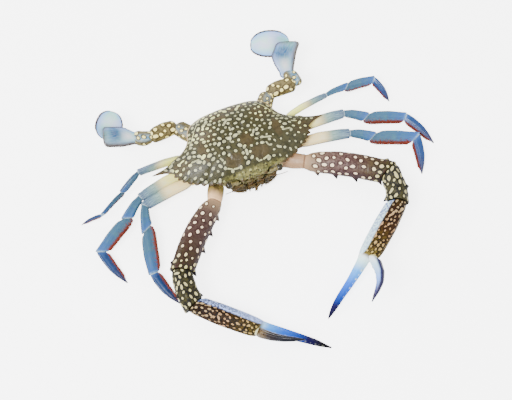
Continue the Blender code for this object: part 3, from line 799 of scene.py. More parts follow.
def shell_finish(name, colour, roughness, granules, depth, coat=0.08, glow=0.0, gloss=0.25):
    """A material for hard shell. colour is a function that gives the colour's socket."""
    material, shader = new_material(name)
    grain = use_group(granule_group, scale=granules, pores=0.3)
    relief = put("ShaderNodeBump", {"Height": grain, "Strength": 1.0, "Distance": depth * MM})
    cloud = noise(260.0, detail=4.0)
    fill(shader, {"Base Color": colour(), "Normal": relief.outputs["Normal"], "Metallic": 0.0,
        "Roughness": ranged(cloud, 0.3, 0.7, roughness - 0.07, roughness + 0.10),
        "Specular IOR Level": gloss, "Coat Weight": coat, "Coat Roughness": 0.18,
        "Subsurface Weight": glow, "Subsurface Radius": (0.6, 0.8, 1.0), "Subsurface Scale": 1.5
        * MM})
    return material


PALE_SKIN = ((226, 222, 206), (176, 168, 144))
TAN_SKIN = ((190, 166, 138), (140, 116, 92))
BLUE_SKIN = ((206, 214, 218), (120, 138, 152))
DARK_SKIN = ((74, 64, 44), (26, 22, 16))


def softened(colour, skin=PALE_SKIN):
    """The soft skin of a joint, where the mesh says that it is soft."""
    pleats = noise(2200.0, detail=2.0)
    return mixed("soft", colour, mixed(pleats, *skin))


# %% [markdown]
# ## The finishes of the shell
# The carapace is olive brown with cream spots, and greener toward the front and the sides.
# The claw arms run from tan at the root through purple brown to olive. The palm is brown
# with a cream network outside and pale blue inside. The fingers run from white through
# sky blue to ink blue. The legs run from peach at the root to blue at the end.

# %% Carapace finish
def carapace_colour():
    brown = mottled((118, 102, 64), (92, 79, 48), 230.0, 0.9)
    olive = mottled((102, 98, 60), (74, 73, 45), 300.0, 0.9)
    cloud = maths("SUBTRACT", noise(120.0, detail=4.0), 0.5)
    patchy = plus("green", times(cloud, 1.3))
    ground = mixed(ranged(patchy, 0.1, 1.0), brown, olive)
    draw = put("ShaderNodeSeparateColor", {"Color": cells(620.0)["Color"]})
    speck = ramp(draw.outputs["Red"], (0.0, 70, 66, 36), (0.3, 152, 150, 92), (0.6, 186, 182, 124),
        (0.85, 120, 118, 66), (1.0, 206, 206, 172))
    ground = mixed(times("front", 0.85), ground, speck)
    cream = mixed(ranged(patchy, 0.2, 0.9), (236, 222, 196), (204, 204, 184))
    cream = mixed(ranged(noise(340.0), 0.35, 0.7, 0.0, 0.7), cream, (170, 168, 136))
    shell = spotted(ground, (34, 31, 18), cream, 0.5, 0.45, 620.0)
    edged = mixed("edge", shell, (216, 208, 184))
    tip = mixed("tip", edged, (106, 82, 48))
    return mixed("under", tip, (206, 198, 176))


# %% Claw finishes
def arm_colour():
    along = "along"
    ground = ramp(along, (0.0, 198, 182, 156), (0.08, 182, 164, 140), (0.2, 164, 144, 132),
        (0.5, 144, 118, 112), (0.78, 122, 102, 74), (1.0, 90, 82, 48))
    ground = mixed(times("dusk", ranged(along, 0.03, 0.25, 0.1, 0.54)), ground, (68, 52, 38))
    purple = ranged("flexor", 0.25, 0.95)
    ground = mixed(times(purple, ranged(along, 0.12, 0.35, 0.0, 0.7)), ground, (74, 54, 74))
    ground = mottled(ground, (92, 60, 58), 420.0, ranged(along, 0.1, 0.35, 0.0, 0.75))
    spot = ramp(along, (0.0, 236, 218, 206), (0.6, 230, 214, 204), (1.0, 206, 202, 168))
    rim = mixed(ranged(along, 0.5, 1.0), (76, 46, 46), (48, 44, 28))
    shell = spotted(ground, rim, spot, 0.8, 0.6, 520.0)
    skin_shades = [mixed(ranged(along, 0.3, 0.7), pale, dark)
        for pale, dark in zip(TAN_SKIN, DARK_SKIN)]
    return softened(mixed("tip", shell, (28, 20, 22)), skin_shades)


def wrist_colour():
    ground = mottled((98, 92, 56), (40, 38, 24), 240.0, 0.9)
    inner_side = ranged("flexor", 0.45, 0.95, 0.0, 0.9)
    ground = mixed(inner_side, ground, (24, 22, 18))
    shell = spotted(ground, (32, 29, 18), (204, 200, 172), 1.0, 1.0, 460.0)
    return softened(mixed("tip", shell, (26, 22, 20)), DARK_SKIN)


def palm_colour():
    ground = ramp("along", (0.0, 84, 70, 40), (0.2, 98, 66, 42), (0.55, 104, 76, 42),
        (0.8, 142, 122, 54), (1.0, 160, 146, 78))
    ground = mixed(times("dusk", 0.35), ground, (56, 36, 24))
    ground = mottled(ground, mixed("dusk", (76, 50, 34), (44, 28, 18)), 420.0, 0.85)
    spot = ramp("along", (0.0, 200, 190, 162), (0.55, 200, 180, 148), (1.0, 200, 190, 138))
    spot = mixed(ranged(noise(300.0), 0.35, 0.7, 0.0, 0.6), spot, (150, 122, 92))
    brown = spotted(ground, (40, 24, 15), spot, 1.0, 1.2, 600.0)
    speckle = noise(520.0, detail=4.0)
    shade = times(ranged("along", 0.1, 1.0, 1.0, 0.4), ranged("dusk", 0.0, 1.0, 0.8, 1.0))
    pale = mixed(times(ranged(speckle, 0.44, 0.56), shade), mixed("dusk", (212, 220, 255),
        (196, 206, 240)), mixed("dusk", (104, 112, 196), (54, 62, 120)))
    palm = mixed("inner", brown, pale)
    blue = finger_colours(plus("finger", times("dusk", 0.14)))
    return softened(mixed(ranged("finger", 0.0, 0.06), palm, blue), DARK_SKIN)


def finger_colours(share):
    """White at the root, then sky blue, then ink blue and nearly black at the tip."""
    colour = ramp(share, (0.0, 240, 242, 240), (0.10, 212, 230, 244), (0.26, 124, 194, 232),
        (0.46, 66, 152, 214), (0.68, 50, 102, 190), (0.80, 46, 40, 112), (1.0, 40, 26, 44))
    white = times("tooth", ranged(share, 0.2, 0.8, 0.9, 0.15))
    return mixed(white, colour, (212, 214, 206))


def finger_colour():
    """Pale with a dark outer edge. The dusky one has a brown root like the palm's."""
    share, flexor = "finger", "flexor"
    along = ramp(share, (0.0, 234, 238, 242), (0.2, 204, 216, 250), (0.55, 168, 196, 240),
        (0.78, 110, 116, 176), (0.9, 60, 40, 62), (1.0, 40, 26, 26))
    outer = times(ranged(flexor, -0.1, -0.7), ranged(share, 0.0, 0.12, 0.4, 1.0))
    colour = mixed(outer, along, (46, 40, 104))
    root = mottled((150, 128, 84), (70, 44, 28), 420.0, 1.0)
    dark = mixed(ranged(share, 0.12, 0.34), root, mixed(ranged(share, 0.3, 0.6), (52, 24, 26),
        (24, 18, 52)))
    dark = mixed(times(ranged(flexor, 0.35, 0.7), ranged(share, 0.95, 0.6)), dark, (150, 158, 206))
    colour = mixed("dusk", colour, dark)
    return softened(mixed("tooth", colour, (206, 206, 200)))


# %% Leg finishes
def edged_limb(colour, edge, amount=0.7):
    """Darker along the two thin edges of a flat limb."""
    flat = maths("ABSOLUTE", "flexor")
    return mixed(times(ranged(flat, 0.86, 1.0), amount), colour, edge)


def streaked(colour, other, amount=0.4):
    """Fine streaks along a limb."""
    place = put("ShaderNodeCombineXYZ", {"X": times("along", 2.5), "Y": times("flexor", 6.0),
        "Z": "upper"}).outputs[0]
    lines = noise(3.0, detail=5.0, vector=place)
    return mixed(ranged(lines, 0.42, 0.62, 0.0, amount), colour, other)


def leg_base_colour():
    return softened(mottled((236, 218, 186), (224, 208, 160), 160.0, 0.6))


def leg_upper_colour():
    root = mixed("warm", (232, 222, 168), (232, 214, 186))
    colour = ramp("along", (0.0, 232, 218, 190), (0.5, 214, 208, 180), (0.68, 158, 176, 170),
        (0.86, 116, 146, 168), (1.0, 88, 108, 154))
    colour = mixed(ranged("along", 0.30, 0.62), root, colour)
    return softened(edged_limb(streaked(colour, (206, 216, 214), 0.3), (126, 130, 172), 0.5),
        BLUE_SKIN)


def leg_lower_colour():
    # painted highlight: the pale last stop at the far end stands for a glint at the joint
    colour = ramp("along", (0.0, 82, 114, 150), (0.15, 96, 140, 170), (0.5, 92, 144, 176),
        (0.85, 80, 138, 192), (0.95, 88, 140, 198), (1.0, 170, 196, 216))
    colour = streaked(colour, (122, 166, 172), 0.6)
    # painted shade: a darker, greener blue on the legs of the right side
    colour = mixed("deep", colour, (48, 88, 100))
    return softened(edged_limb(colour, (48, 66, 112)), BLUE_SKIN)


def leg_tip_colour():
    colour = ramp("along", (0.0, 100, 150, 196), (0.12, 52, 100, 160), (0.55, 54, 86, 148),
        (0.8, 72, 64, 112), (0.93, 66, 38, 50), (1.0, 48, 28, 28))
    colour = streaked(colour, (84, 136, 184), 0.45)
    # painted shade: a darker, greener blue on the legs of the right side
    colour = mixed("deep", colour, (30, 50, 72))
    return softened(edged_limb(colour, (46, 38, 84)), BLUE_SKIN)


def swimmer_arm_colour():
    ground = mottled((160, 150, 104), (116, 101, 62), 300.0, 0.9)
    ground = mixed("blue", ground, mottled((136, 176, 192), (196, 204, 206), 320.0, 0.9))
    return softened(spotted(ground, (82, 62, 36), (236, 218, 186), 0.6, 0.7, 420.0))


def paddle_colour():
    middle_share = ranged(maths("ABSOLUTE", "flexor"), 0.2, 0.9, 1.0, 0.0)
    colour = mixed(middle_share, (176, 206, 222), (186, 216, 214))
    colour = mottled(colour, (202, 206, 224), 110.0, 0.7)
    # painted light: a pale glow in the middle of each blade, as if lit from behind
    colour = mixed("glow", colour, (232, 234, 255))
    colour = mixed("wash", colour, mottled((44, 116, 168), (80, 150, 184), 110.0, 0.8))
    colour = mixed("olive", colour, mottled((128, 114, 56), (88, 76, 40), 200.0, 0.8))
    colour = streaked(colour, (226, 228, 238), 0.1)
    return softened(mixed("rim", colour, (98, 72, 76)))


# %% Belly, mouth and feeler finishes
def belly_colour():
    pale = mottled((226, 220, 204), (206, 198, 172), 90.0, 0.7)
    cheek = mottled((150, 146, 92), (92, 84, 48), 420.0, 0.9)
    return mixed("cheek", pale, cheek)


def mouth_colour():
    colour = mottled((98, 80, 42), (34, 22, 12), 340.0, 1.0)
    return mixed("pale", colour, (146, 132, 78))


def feeler_colour():
    return ramp("along", (0.0, 160, 148, 92), (0.3, 122, 92, 56), (1.0, 150, 118, 88))


def eye_colour():
    facets = ranged(cells(2600.0)["Distance"], 0.0, 0.6)
    glass = mixed(facets, (112, 106, 72), (58, 52, 34))
    stalk = mottled((170, 160, 110), (96, 84, 50), 500.0, 0.9)
    return mixed("cornea", stalk, glass)


def hair_colour(root, tip, other):
    """A hair finish: root to tip, with hairs of another shade among them."""
    def colour():
        plain = ramp("along", (0.0, *root), (0.5, *tip), (1.0, *tip))
        return mixed(times("shade", 0.6), plain, other)
    return colour


def claw_base_colour():
    root = mottled((176, 164, 104), (116, 100, 60), 260.0, 0.9)
    root = mixed(ranged("along", 0.4, 0.95), root, (216, 202, 178))
    return softened(mixed("dusk", (192, 172, 144), root))


RED_HAIR = ((138, 76, 58), (190, 110, 86), (166, 90, 72))
OAR_HAIR = ((128, 100, 92), (146, 120, 108), (110, 84, 84))
MOUTH_HAIR = ((116, 94, 56), (182, 162, 112), (92, 70, 42))
FINISHES = {     # colour, roughness, granules to the metre, their depth; coat, glow and gloss
    "carapace": (carapace_colour, 0.40, 780.0, 0.16),
    "claw_base": (claw_base_colour, 0.40, 900.0, 0.10),
    "claw_arm": (arm_colour, 0.42, 900.0, 0.12, 0.03, 0.0, 0.15),
    "claw_wrist": (wrist_colour, 0.40, 820.0, 0.16, 0.03, 0.0, 0.15),
    "claw_hand": (palm_colour, 0.50, 900.0, 0.12, 0.0, 0.0, 0.08),
    "claw_finger": (finger_colour, 0.26, 1300.0, 0.04, 0.35),
    "leg_base": (leg_base_colour, 0.40, 1200.0, 0.05),
    "leg_upper": (leg_upper_colour, 0.38, 1500.0, 0.05),
    "leg_lower": (leg_lower_colour, 0.34, 1500.0, 0.05, 0.12),
    "leg_tip": (leg_tip_colour, 0.32, 1500.0, 0.05, 0.12),
    "swimmer_arm": (swimmer_arm_colour, 0.38, 1000.0, 0.10),
    "paddle": (paddle_colour, 0.30, 1600.0, 0.04, 0.4, 0.25),
    "belly": (belly_colour, 0.44, 700.0, 0.10),
    "mouth": (mouth_colour, 0.46, 900.0, 0.10),
    "feeler": (feeler_colour, 0.45, 1500.0, 0.05),
    "red_fringe": (hair_colour(*RED_HAIR), 0.6, 2000.0, 0.0, 0.0),
    "oar_hair": (hair_colour(*OAR_HAIR), 0.6, 2000.0, 0.0, 0.0),
    "mouth_hair": (hair_colour(*MOUTH_HAIR), 0.6, 2000.0, 0.0, 0.0),
    "eye": (eye_colour, 0.26, 2600.0, 0.02, 0.35),
}
finishes = {name: shell_finish(name + "_finish", *values) for name, values in FINISHES.items()}
print("finishes:", sorted(finishes))

# %% [markdown]
# ## Walking legs
# Three pairs of flat, smooth legs. Their shells are plain, so the eye goes to the long
# ridges: thin keels along both edges of the arm, two ribs on the short wrist, and one rib
# between two grooves down the face of the last two segments. Each ridge is a bell curve in
# the angle round the segment, added to the measured section.


# %% Ridges of the walking legs
def folded(turn):
    """Angle from the flexor edge, 0 to 180, alike above and below."""
    return np.abs((turn + 180) % 360 - 180)


def swelling(at, length):
    """Nothing at a segment's ends and full in its middle."""
    return ease(at, 1.0, 0.2 * length) * (1 - ease(at, 0.85 * length, length))


def merus_relief(at, length, turn):
    return swelling(at, length) * ridges(folded(turn), (0.30, 0, 13), (0.25, 180, 13),
        (-0.22, 38, 14), (-0.20, 142, 14))


def carpus_relief(at, length, turn):
    return swelling(at, length) * ridges(folded(turn), (0.42, 62, 9), (0.36, 120, 9),
        (-0.28, 90, 13), (-0.18, 32, 12))


def propodus_relief(at, length, turn):
    side = folded(turn)
    heel = bump(at, 2.0, 0.22 * length) * ridges(side, (1.5, 0, 48))
    return heel + swelling(at, length) * ridges(side, (0.30, 90, 8), (-0.34, 64, 11),
        (-0.34, 116, 11), (0.20, 180, 10))


def dactyl_relief(at, length, turn):
    fade = ease(at, 0.5, 4.0) * (1 - ease(at, 0.75 * length, length))
    return fade * ridges(folded(turn), (0.26, 90, 8), (-0.28, 62, 10), (-0.28, 118, 10))


LEG_STYLES = {               # relief, neck length, finish, slot
    "ischium": (None, 3.0, "leg_base", "leg_base"),
    "merus": (merus_relief, 3.5, "leg_upper", "leg_upper"),
    "carpus": (carpus_relief, 5.0, "leg_lower", "leg_lower"),
    "propodus": (propodus_relief, 4.0, "leg_lower", "leg_lower"),
    "dactyl": (dactyl_relief, 3.0, "leg_tip", "leg_tip"),
}


def limb_piece(segment, rings, layers, finish, moved=None):
    """The finished piece of a segment, from its rings."""
    points, quads, triangles = skin(rings)
    layers = {key: with_poles(row) if np.ndim(row) == 2 else row for key, row in layers.items()}
    make_piece(segment["name"] + "_shell", points if moved is None else moved, quads, triangles,
        finish, [segment["name"]], layers)


# %% Fit the walking legs
UNDERCUT = 0.9               # slope by which the fifth segment reaches back under the wrist
SLIM = {                     # share of the measured width and thickness of the hindmost pair
    ("leg4", "left"): {"merus": 0.66, "carpus": 0.74, "propodus": 0.95},
    ("leg4", "right"): {"carpus": 0.82, "propodus": 0.6, "dactyl": 0.55},
}
for limb in WALKING:
    for flank, side in SIDES:
        chain = limbs[limb, flank]
        wrist, hand = chain["carpus"], chain["propodus"]
        plane = unit(unit(wrist["axes"][0] + hand["axes"][0]) + UNDERCUT * hand["axes"][1])
        for segment, end in ((wrist, 1), (hand, 0)):
            planes, slants = list(segment["planes"]), list(segment["slants"])
            planes[end] = plane
            slants[end] = slant(plane, segment["axes"], segment["table"]["width"][-end],
                segment["table"]["thick"][-end])
            segment.update(planes=planes, slants=slants)
        for kind, share in SLIM.get((limb, flank), {}).items():
            for name in ("width", "thick"):
                chain[kind]["table"][name] *= share

# %% Build the walking legs
WARMTH = {                   # peach instead of pale green at the root
    "left": {"leg2": 1.0, "leg3": 0.45, "leg4": 0.0},
    "right": {"leg2": 1.0, "leg3": 0.3, "leg4": 0.0},
}
SIDE_SHADE = {"left": 0.05, "right": 0.3}     # painted shade: the legs of the right side are a darker, greener blue
LEG_NET = (0.75, 36, 0.10)
for limb in WALKING:
    for flank, side in SIDES:
        for kind, segment in limbs[limb, flank].items():
            relief, neck, finish, slot = LEG_STYLES[kind]
            rings, values = segment_skin(segment, LEG_NET, neck, relief)
            values["warm"] = WARMTH[flank][limb]
            values["deep"] = SIDE_SHADE[flank]
            limb_piece(segment, rings, values, finish)
print("walking legs:", sum(len(limbs[limb, name]) for limb in WALKING for name, _ in SIDES),
    "segments")

# %% [markdown]
# ## Swimming legs
# The last pair ends in oars. The short inner segments are spotted like the carapace. The
# broad ones are thin, pale blue plates with a brown rim and a faint rib. The light comes
# through them a little in the material, and a pale glow is also painted in the middle of
# each blade.


# %% Ridges and colours of the swimming legs
def oar_relief(at, length, turn):
    side = folded(turn)
    rib = ridges(side, (0.28, 90, 7)) * (1 - ease(at, 0.6 * length, 0.95 * length))
    return rib + ridges(side, (0.16, 14, 7), (0.16, 166, 7), (-0.10, 52, 12))


def knuckle_relief(at, length, turn):
    return swelling(at, length) * ridges(folded(turn), (0.35, 55, 12), (0.30, 125, 12),
        (-0.25, 90, 14))


SWIMMER_STYLES = {
    "coxa": (None, 3.0, "swimmer_arm", "leg_base"),
    "merus": (knuckle_relief, 4.0, "swimmer_arm", "swimmer_arm"),
    "carpus": (knuckle_relief, 3.5, "swimmer_arm", "swimmer_arm"),
    "propodus": (oar_relief, 4.0, "paddle", "paddle"),
    "paddle": (oar_relief, 3.0, "paddle", "paddle"),
}
SWIMMER_SPOTS = {"coxa": (4.0, 1.0), "merus": (4.8, 1.5), "carpus": (4.6, 1.15)}


def strew_spots(points, spacing, size, way, stretch):
    """Spots over a skin. Sizes follow the spacing that each place asks for."""
    chosen = strew(points, spacing)
    sizes = size * rng.uniform(0.75, 1.2, len(chosen))
    ways = [unit(way + rng.normal(0, 0.35, 3)) for _ in chosen]
    stretches = 1 + (stretch - 1) * rng.uniform(0.3, 1.3, len(chosen))
    return spot_field(points, points[chosen], sizes, ways, stretches)


def rim_share(segment, values, inset=1.5):
    """1 on the thin rim of a flat segment, all round its free edge."""
    length = segment["length"]
    width = sections(segment, values["along"] * length, "width")[0]
    wide = np.abs(values["flexor"]) ** (2 / SQUARENESS)
    inward = np.minimum(width * (1 - wide), length * (1 - values["along"]))
    return 1 - ease(inward, 0.35 * inset, inset)


# %% Round off the swimming legs
BEADS = {"coxa": (None, 1.2), "merus": (1.6, 2.0), "carpus": (1.8, 1.6)}
PADDLE_ROOT = 3.2            # how far the paddle's root reaches under the segment before it
PADDLE_DROP = 2.5            # and how far below it the paddle lies
BLADE_ROOT = 5.0             # how far the blade's root reaches under the wrist
OARS = {     # blade: widening, shift toward the paddle, added reach; paddle: width, shift inward
    "left": (1.2, 1.9, 2.4, 0.95, 0.0), "right": (1.1, -0.7, 5.6, 0.92, 1.2),
}
for flank, side in SIDES:
    chain = limbs["swimmer", flank]
    for kind, (start, end) in BEADS.items():
        round_off(chain[kind], start, end, 5.0, 2.0)
    blade, paddle = chain["propodus"], chain["paddle"]
    wider, shift, reach, narrower, inward = OARS[flank]
    blade["outer"] = -np.sign(paddle["axes"][0] @ blade["axes"][1])
    blade["table"]["width"] *= wider
    blade["table"]["across"] -= shift * blade["outer"]
    paddle["start"] = paddle["start"] - blade["axes"][0] * inward
    way, flexor, face = paddle["axes"]
    face = unit(blade["axes"][2] - way * (blade["axes"][2] @ way))
    across = np.cross(face, way)
    paddle["axes"] = (way, across * np.sign(across @ flexor), face)
    table = paddle["table"]
    table["width"] = np.full(STATIONS, narrower * table["width"].max())
    table["thick"] = np.full(STATIONS, 0.85)
    table["above"] = np.full(STATIONS, -PADDLE_DROP)
    round_off(paddle, PADDLE_ROOT, 0.0, (paddle["length"] + PADDLE_ROOT) / 2, 2.1)
    round_off(blade, BLADE_ROOT, reach, 4.5, 2.6)

# %% Build the swimming legs
OAR_NET = (0.5, 52, 0.2)
for flank, side in SIDES:
    for kind, segment in limbs["swimmer", flank].items():
        relief, neck, finish, slot = SWIMMER_STYLES[kind]
        rings, values = segment_skin(segment, OAR_NET, neck, relief)
        if kind in SWIMMER_SPOTS:
            points = skin(rings)[0]
            spacing, size = SWIMMER_SPOTS[kind]
            hard = with_poles(values["soft"]) < 0.5
            values = {name: with_poles(value) for name, value in values.items()}
            values["spot"] = strew_spots(points, spacing * hard, size, segment["axes"][0], 1.4)
            values["blue"] = {"coxa": 0.4, "merus": 0.0, "carpus": 1.0}[kind] * ease(
                values["upper"], 0.45, 0.85) * bump(values["flexor"], 0.15, 0.4)
        else:
            rim, at, flexor = rim_share(segment, values), values["along"], values["flexor"]
            if kind == "propodus":
                outer = segment["outer"] * flexor
                corner = ease(outer, 0.2, 0.95) * ease(at, 0.55, 0.95)
                margin = ease(outer, 0.4, 0.9)
                values["olive"] = np.maximum(0.95 * corner, 0.9 * margin)
                values["olive"] = np.maximum(values["olive"], 0.7 * ease(at, 0.84, 1.0))
                values["wash"] = 0.3 + 0.7 * bump(at, 0.70, 0.22) * bump(outer, -0.2, 0.9)
                rim = rim * 0.6
                # painted light: where the blade's pale glow is painted
                values["glow"] = bump(at, 0.36, 0.2) * bump(flexor, 0.0, 0.45)
            else:
                values["olive"] = 0.0
                values["wash"] = 0.45 * bump(at, 0.22, 0.22) * bump(flexor, 0.0, 0.8)
                # painted light: where the paddle's pale glow is painted
                values["glow"] = 0.5 * bump(at, 0.6, 0.3) * bump(flexor, 0.0, 0.6)
            values["rim"] = rim
        limb_piece(segment, rings, values, finish)
print("swimming legs: 10 segments")

# %% [markdown]
# ## Claw legs
# The claws carry the character of the animal. The arm has a row of dark spines along the
# edge that faces the mouth. The wrist is short and knobbly. The palm is a long prism with
# beaded keels, and it runs on into the fixed finger. Spines are pulled out of the skin
# itself, so that no seam shows at their feet.


# %% Ridges of the claw legs
def arm_relief(at, length, turn):
    folds = 0.12 * np.sin(at * 1.9 + np.radians(turn) * 2) * np.sin(at * 0.83)
    return swelling(at, length) * (folds + ridges(turn, (0.35, 0, 16), (0.30, 180, 20),
        (-0.30, 38, 18), (-0.18, 130, 22)))


def wrist_relief(at, length, turn):
    knobs = 0.30 * np.sin(at * 1.1) * np.sin(np.radians(turn) * 5 + at * 0.4)
    return swelling(at, length) * (knobs + ridges(turn, (0.5, 60, 12), (0.5, 130, 12),
        (0.4, 185, 12), (0.35, 0, 14), (-0.45, 95, 14)))


# keels of the palm: (height, angle); the strongest parts the brown face from the blue one
KEELS = ((0.75, 106), (0.50, 146), (0.55, 184), (0.45, 222), (0.28, 58), (0.35, 8), (0.30, -40))
BEAD = 1.9                   # from bead to bead along a keel


def palm_relief(palm_length):
    def relief(at, length, turn):
        beads = 0.65 + 0.35 * np.cos(2 * pi * at / BEAD + turn)
        keels = ridges(turn, *((height, angle, 7.5) for height, angle in KEELS))
        hollow = ridges(turn, *((0.22, angle + 19, 9) for _, angle in KEELS))
        on_palm = ease(at, 2.0, 9.0) * (1 - ease(at, palm_length - 7, palm_length + 2))
        on_finger = (ease(at, palm_length + 4, palm_length + 16)
            * (1 - ease(at, 0.85 * length, 0.97 * length)))
        grooves = ridges(turn, (-0.42, 96, 11), (-0.42, -96, 11), (0.22, 55, 16), (0.22, 140, 14))
        return on_palm * (keels * beads - hollow) + on_finger * grooves
    return relief


def finger_relief(at, length, turn):
    fade = ease(at, 3, 12) * (1 - ease(at, 0.8 * length, 0.96 * length))
    return fade * ridges(turn, (-0.40, 92, 11), (-0.40, -92, 11), (0.25, 142, 13), (0.2, 215, 13),
        (0.15, 50, 14))


# %% Read the movable finger
def read_finger(flank, side):
    """The movable finger as a segment. Its flexor side is the hollow side of its curve."""
    palm = limbs["cheliped", flank]["palm"]
    name = f"cheliped_{flank}_finger"
    shape = solid(name)
    palm_way = palm["axes"][0]
    palm["palm_length"] = ((shape[0] - palm["start"]) @ palm_way).min() - GAP
    base = palm["start"] + palm_way * (palm["palm_length"] + GAP + 1.5)
    start = middle(slice_of(shape, base, palm_way)) - 1.7 * palm_way
    tip = shape[0][np.argmax(lengths_of(shape[0] - start))]
    way = unit(tip - start)
    bow = sum(middle(slice_of(shape, start + (tip - start) * share, way)) - start
        - (tip - start) * share for share in (0.3, 0.5, 0.7))
    flexor = -unit(bow - way * (bow @ way))
    face = np.cross(way, flexor)
    face = face if face @ palm["axes"][2] > 0 else -face
    length = (tip - start) @ way
    axes = (way, flexor, face)
    return {"name": name, "limb": "cheliped", "kind": "finger", "side": side, "start": start,
        "end": tip, "axes": axes, "length": length, "planes": (palm_way, None),
        "slants": [2.0, 0.0], "table": measure(shape, start, axes, length, (4.0, 0.0), blur=1.0)}


def hook(finger, shorter, bend, wider):
    """Shorten and widen a finger, and bend its end toward the other finger."""
    table = finger["table"]
    table["width"] *= wider
    share = table["along"] / finger["length"]
    table["across"] += bend * ease(share, 0.45, 1.0) ** 1.5
    table["along"] *= shorter
    finger["length"] *= shorter
    finger["end"] = finger["start"] + finger["axes"][0] * finger["length"]


def slim_fixed_finger(palm, amount, bow):
    """Take the back of a palm's own finger in, and bow the finger toward the other one."""
    table, full = palm["table"], palm["palm_length"]
    share = (table["along"] - full) / (palm["length"] - full)
    cut = amount * ease(share, -0.05, 0.12) * (1 - ease(share, 0.5, 0.95))
    table["across"] = table["across"] - table["width"] * cut - bow * bump(share, 0.35, 0.28)
    table["width"] *= 1 - cut


HOOKS = {"left": (0.88, 3.4, 1.16), "right": (0.84, 0.5, 1.0)}
for flank, side in SIDES:
    claw = limbs["cheliped", flank]
    claw["finger"] = read_finger(flank, side)
    hook(claw["finger"], *HOOKS[flank])
    if flank == "left":
        slim_fixed_finger(claw["palm"], 0.2, 1.8)
    print(flank, "palm", round(claw["palm"]["palm_length"], 1), "finger",
        round(claw["finger"]["length"], 1))

# %% Spines, teeth and spots of the claws
# (share of the length, edge, height): edge 1 faces the mouth, -1 is the outer one
SPINES = {
    "merus": ((0.16, 1, 4.8), (0.38, 1, 5.8), (0.62, 1, 6.0), (0.93, 1, 5.4), (0.965, -1, 3.0)),
    "carpus": ((0.74, 1, 6.4), (0.62, -1, 3.6)),
    "palm": ((0.10, -1, 2.4), (0.84, -1, 2.8)),
}
TEETH = (    # (share of the finger, radius, height)
    *((share, 1.5, 1.0) for share in (0.22, 0.36, 0.50, 0.64, 0.78, 0.88)),
    *((share, 0.95, 0.5) for share in (0.16, 0.29, 0.43, 0.57, 0.71, 0.83)),
)


def edge_point(segment, at, edge, sink=0.4):
    """A point on one edge of a segment, a little inside its skin."""
    width = sections(segment, at, "width")[0]
    return centre_at(segment, at) + edge * segment["axes"][1] * (width - sink)


def claw_spines(segment, full):
    way, flexor, _ = segment["axes"]
    return [(edge_point(segment, share * full, edge), unit(edge * flexor + 0.55 * way), 2.9, height)
        for share, edge, height in SPINES.get(segment["kind"], ())]


def bite(segment, start, edge):
    """Teeth on the cutting edge, from a place along the segment to its tip."""
    reach = segment["length"] - start
    return [(edge_point(segment, start + share * reach, edge, 0.3), edge * segment["axes"][1],
        radius * (1.15 - 0.4 * share), height * (1.1 - 0.4 * share))
        for share, radius, height in TEETH]


def claw_spacing(kind, along, turn):
    """Room that each spot asks for, in millimetres, over a claw segment."""
    if kind == "merus":
        return np.where(along > 0.84, 4.3, 5.7) * (along > 0.1) * (folded(turn) > 20)
    return 4.3 if kind == "carpus" else 3.15


CLAW_STYLES = {              # relief, neck, finish, slot, spot size, stretch
    "ischium": (None, 3.0, "claw_base", "cheliped_base", 0, 0),
    "merus": (arm_relief, 5.0, "claw_arm", "claw_arm", 1.2, 1.6),
    "carpus": (wrist_relief, 5.0, "claw_wrist", "claw_arm", 1.08, 2.4),
    "palm": (None, 5.0, "claw_hand", "claw_hand", 0.86, 2.2),
    "finger": (finger_relief, 3.0, "claw_finger", "claw_finger", 0, 0),
}

# %% Build the claw legs
CLAW_NET = (0.62, 64, 0.25)
DUSKY_CLAW = "right"         # the claw whose arm and movable finger are darker
INNER_FACE = {"left": 97, "right": 118}     # angle round the palm where its blue face ends
for flank, side in SIDES:
    for kind, segment in limbs["cheliped", flank].items():
        relief, neck, finish, slot, spot_size, stretch = CLAW_STYLES[kind]
        spot_size *= 1.0 if flank == DUSKY_CLAW else 1.14
        full = segment.get("palm_length", segment["length"])
        if kind == "palm":
            relief = palm_relief(full)
        rings, values = segment_skin(segment, CLAW_NET, neck, relief)
        values = {name: with_poles(value) for name, value in values.items()}
        points = skin(rings)[0]
        at = values["along"] * segment["length"]
        turn = np.degrees(np.arctan2(values["upper"], values["flexor"]))
        values["along"] = np.clip(at / full, 0, 1)
        if kind == "palm":
            parting = INNER_FACE[flank]
            values["inner"] = ease(turn, -84, -66) * (1 - ease(turn, parting - 4, parting + 4))
            values["finger"] = np.clip((at - full) / (segment["length"] - full), 0, 1)
        values["dusk"] = float(flank == DUSKY_CLAW)
        if kind == "finger":
            values["finger"] = values["along"]
        if spot_size:
            room = claw_spacing(kind, values["along"], turn)
            room = room * (values["soft"] < 0.5) * (at < full - 1.0)
            values["spot"] = strew_spots(points, room, spot_size, segment["axes"][0], stretch)
        points, tips = raise_spines(points, claw_spines(segment, full))
        values["tip"] = ease(tips, 0.15, 0.45)
        cutting = {"palm": (full, -1), "finger": (0.0, 1)}.get(kind)
        points, tooth = raise_spines(points, bite(segment, *cutting) if cutting else [])
        values["tooth"] = ease(tooth, 0.2, 0.6)
        limb_piece(segment, rings, values, finish, points)
print("claw legs: 10 segments")

# %% [markdown]
# ## The carapace
# The carapace is a wide low dome with a toothed edge: nine teeth a side, of which the last is
# the long spine. Its outline is read from the solid. Then columns of points run from the
# middle out to the edge, round it, and in again below. The regions of the back that a
# zoologist names are raised and lowered from that dome: the swollen gills at the sides, the
# stomach in front and the heart behind it, with the grooves between.


# %% Read the outline of the carapace
MARGIN_SHARE = 0.95          # where the solid's last ring lies before the toothed edge
FULL_SPREAD = 154.0          # the width, in millimetres, that the lists of places are given for
SIDE_SPINES = ((-1, 3.2), (1, 0.8))     # side, and how much longer its spine is made


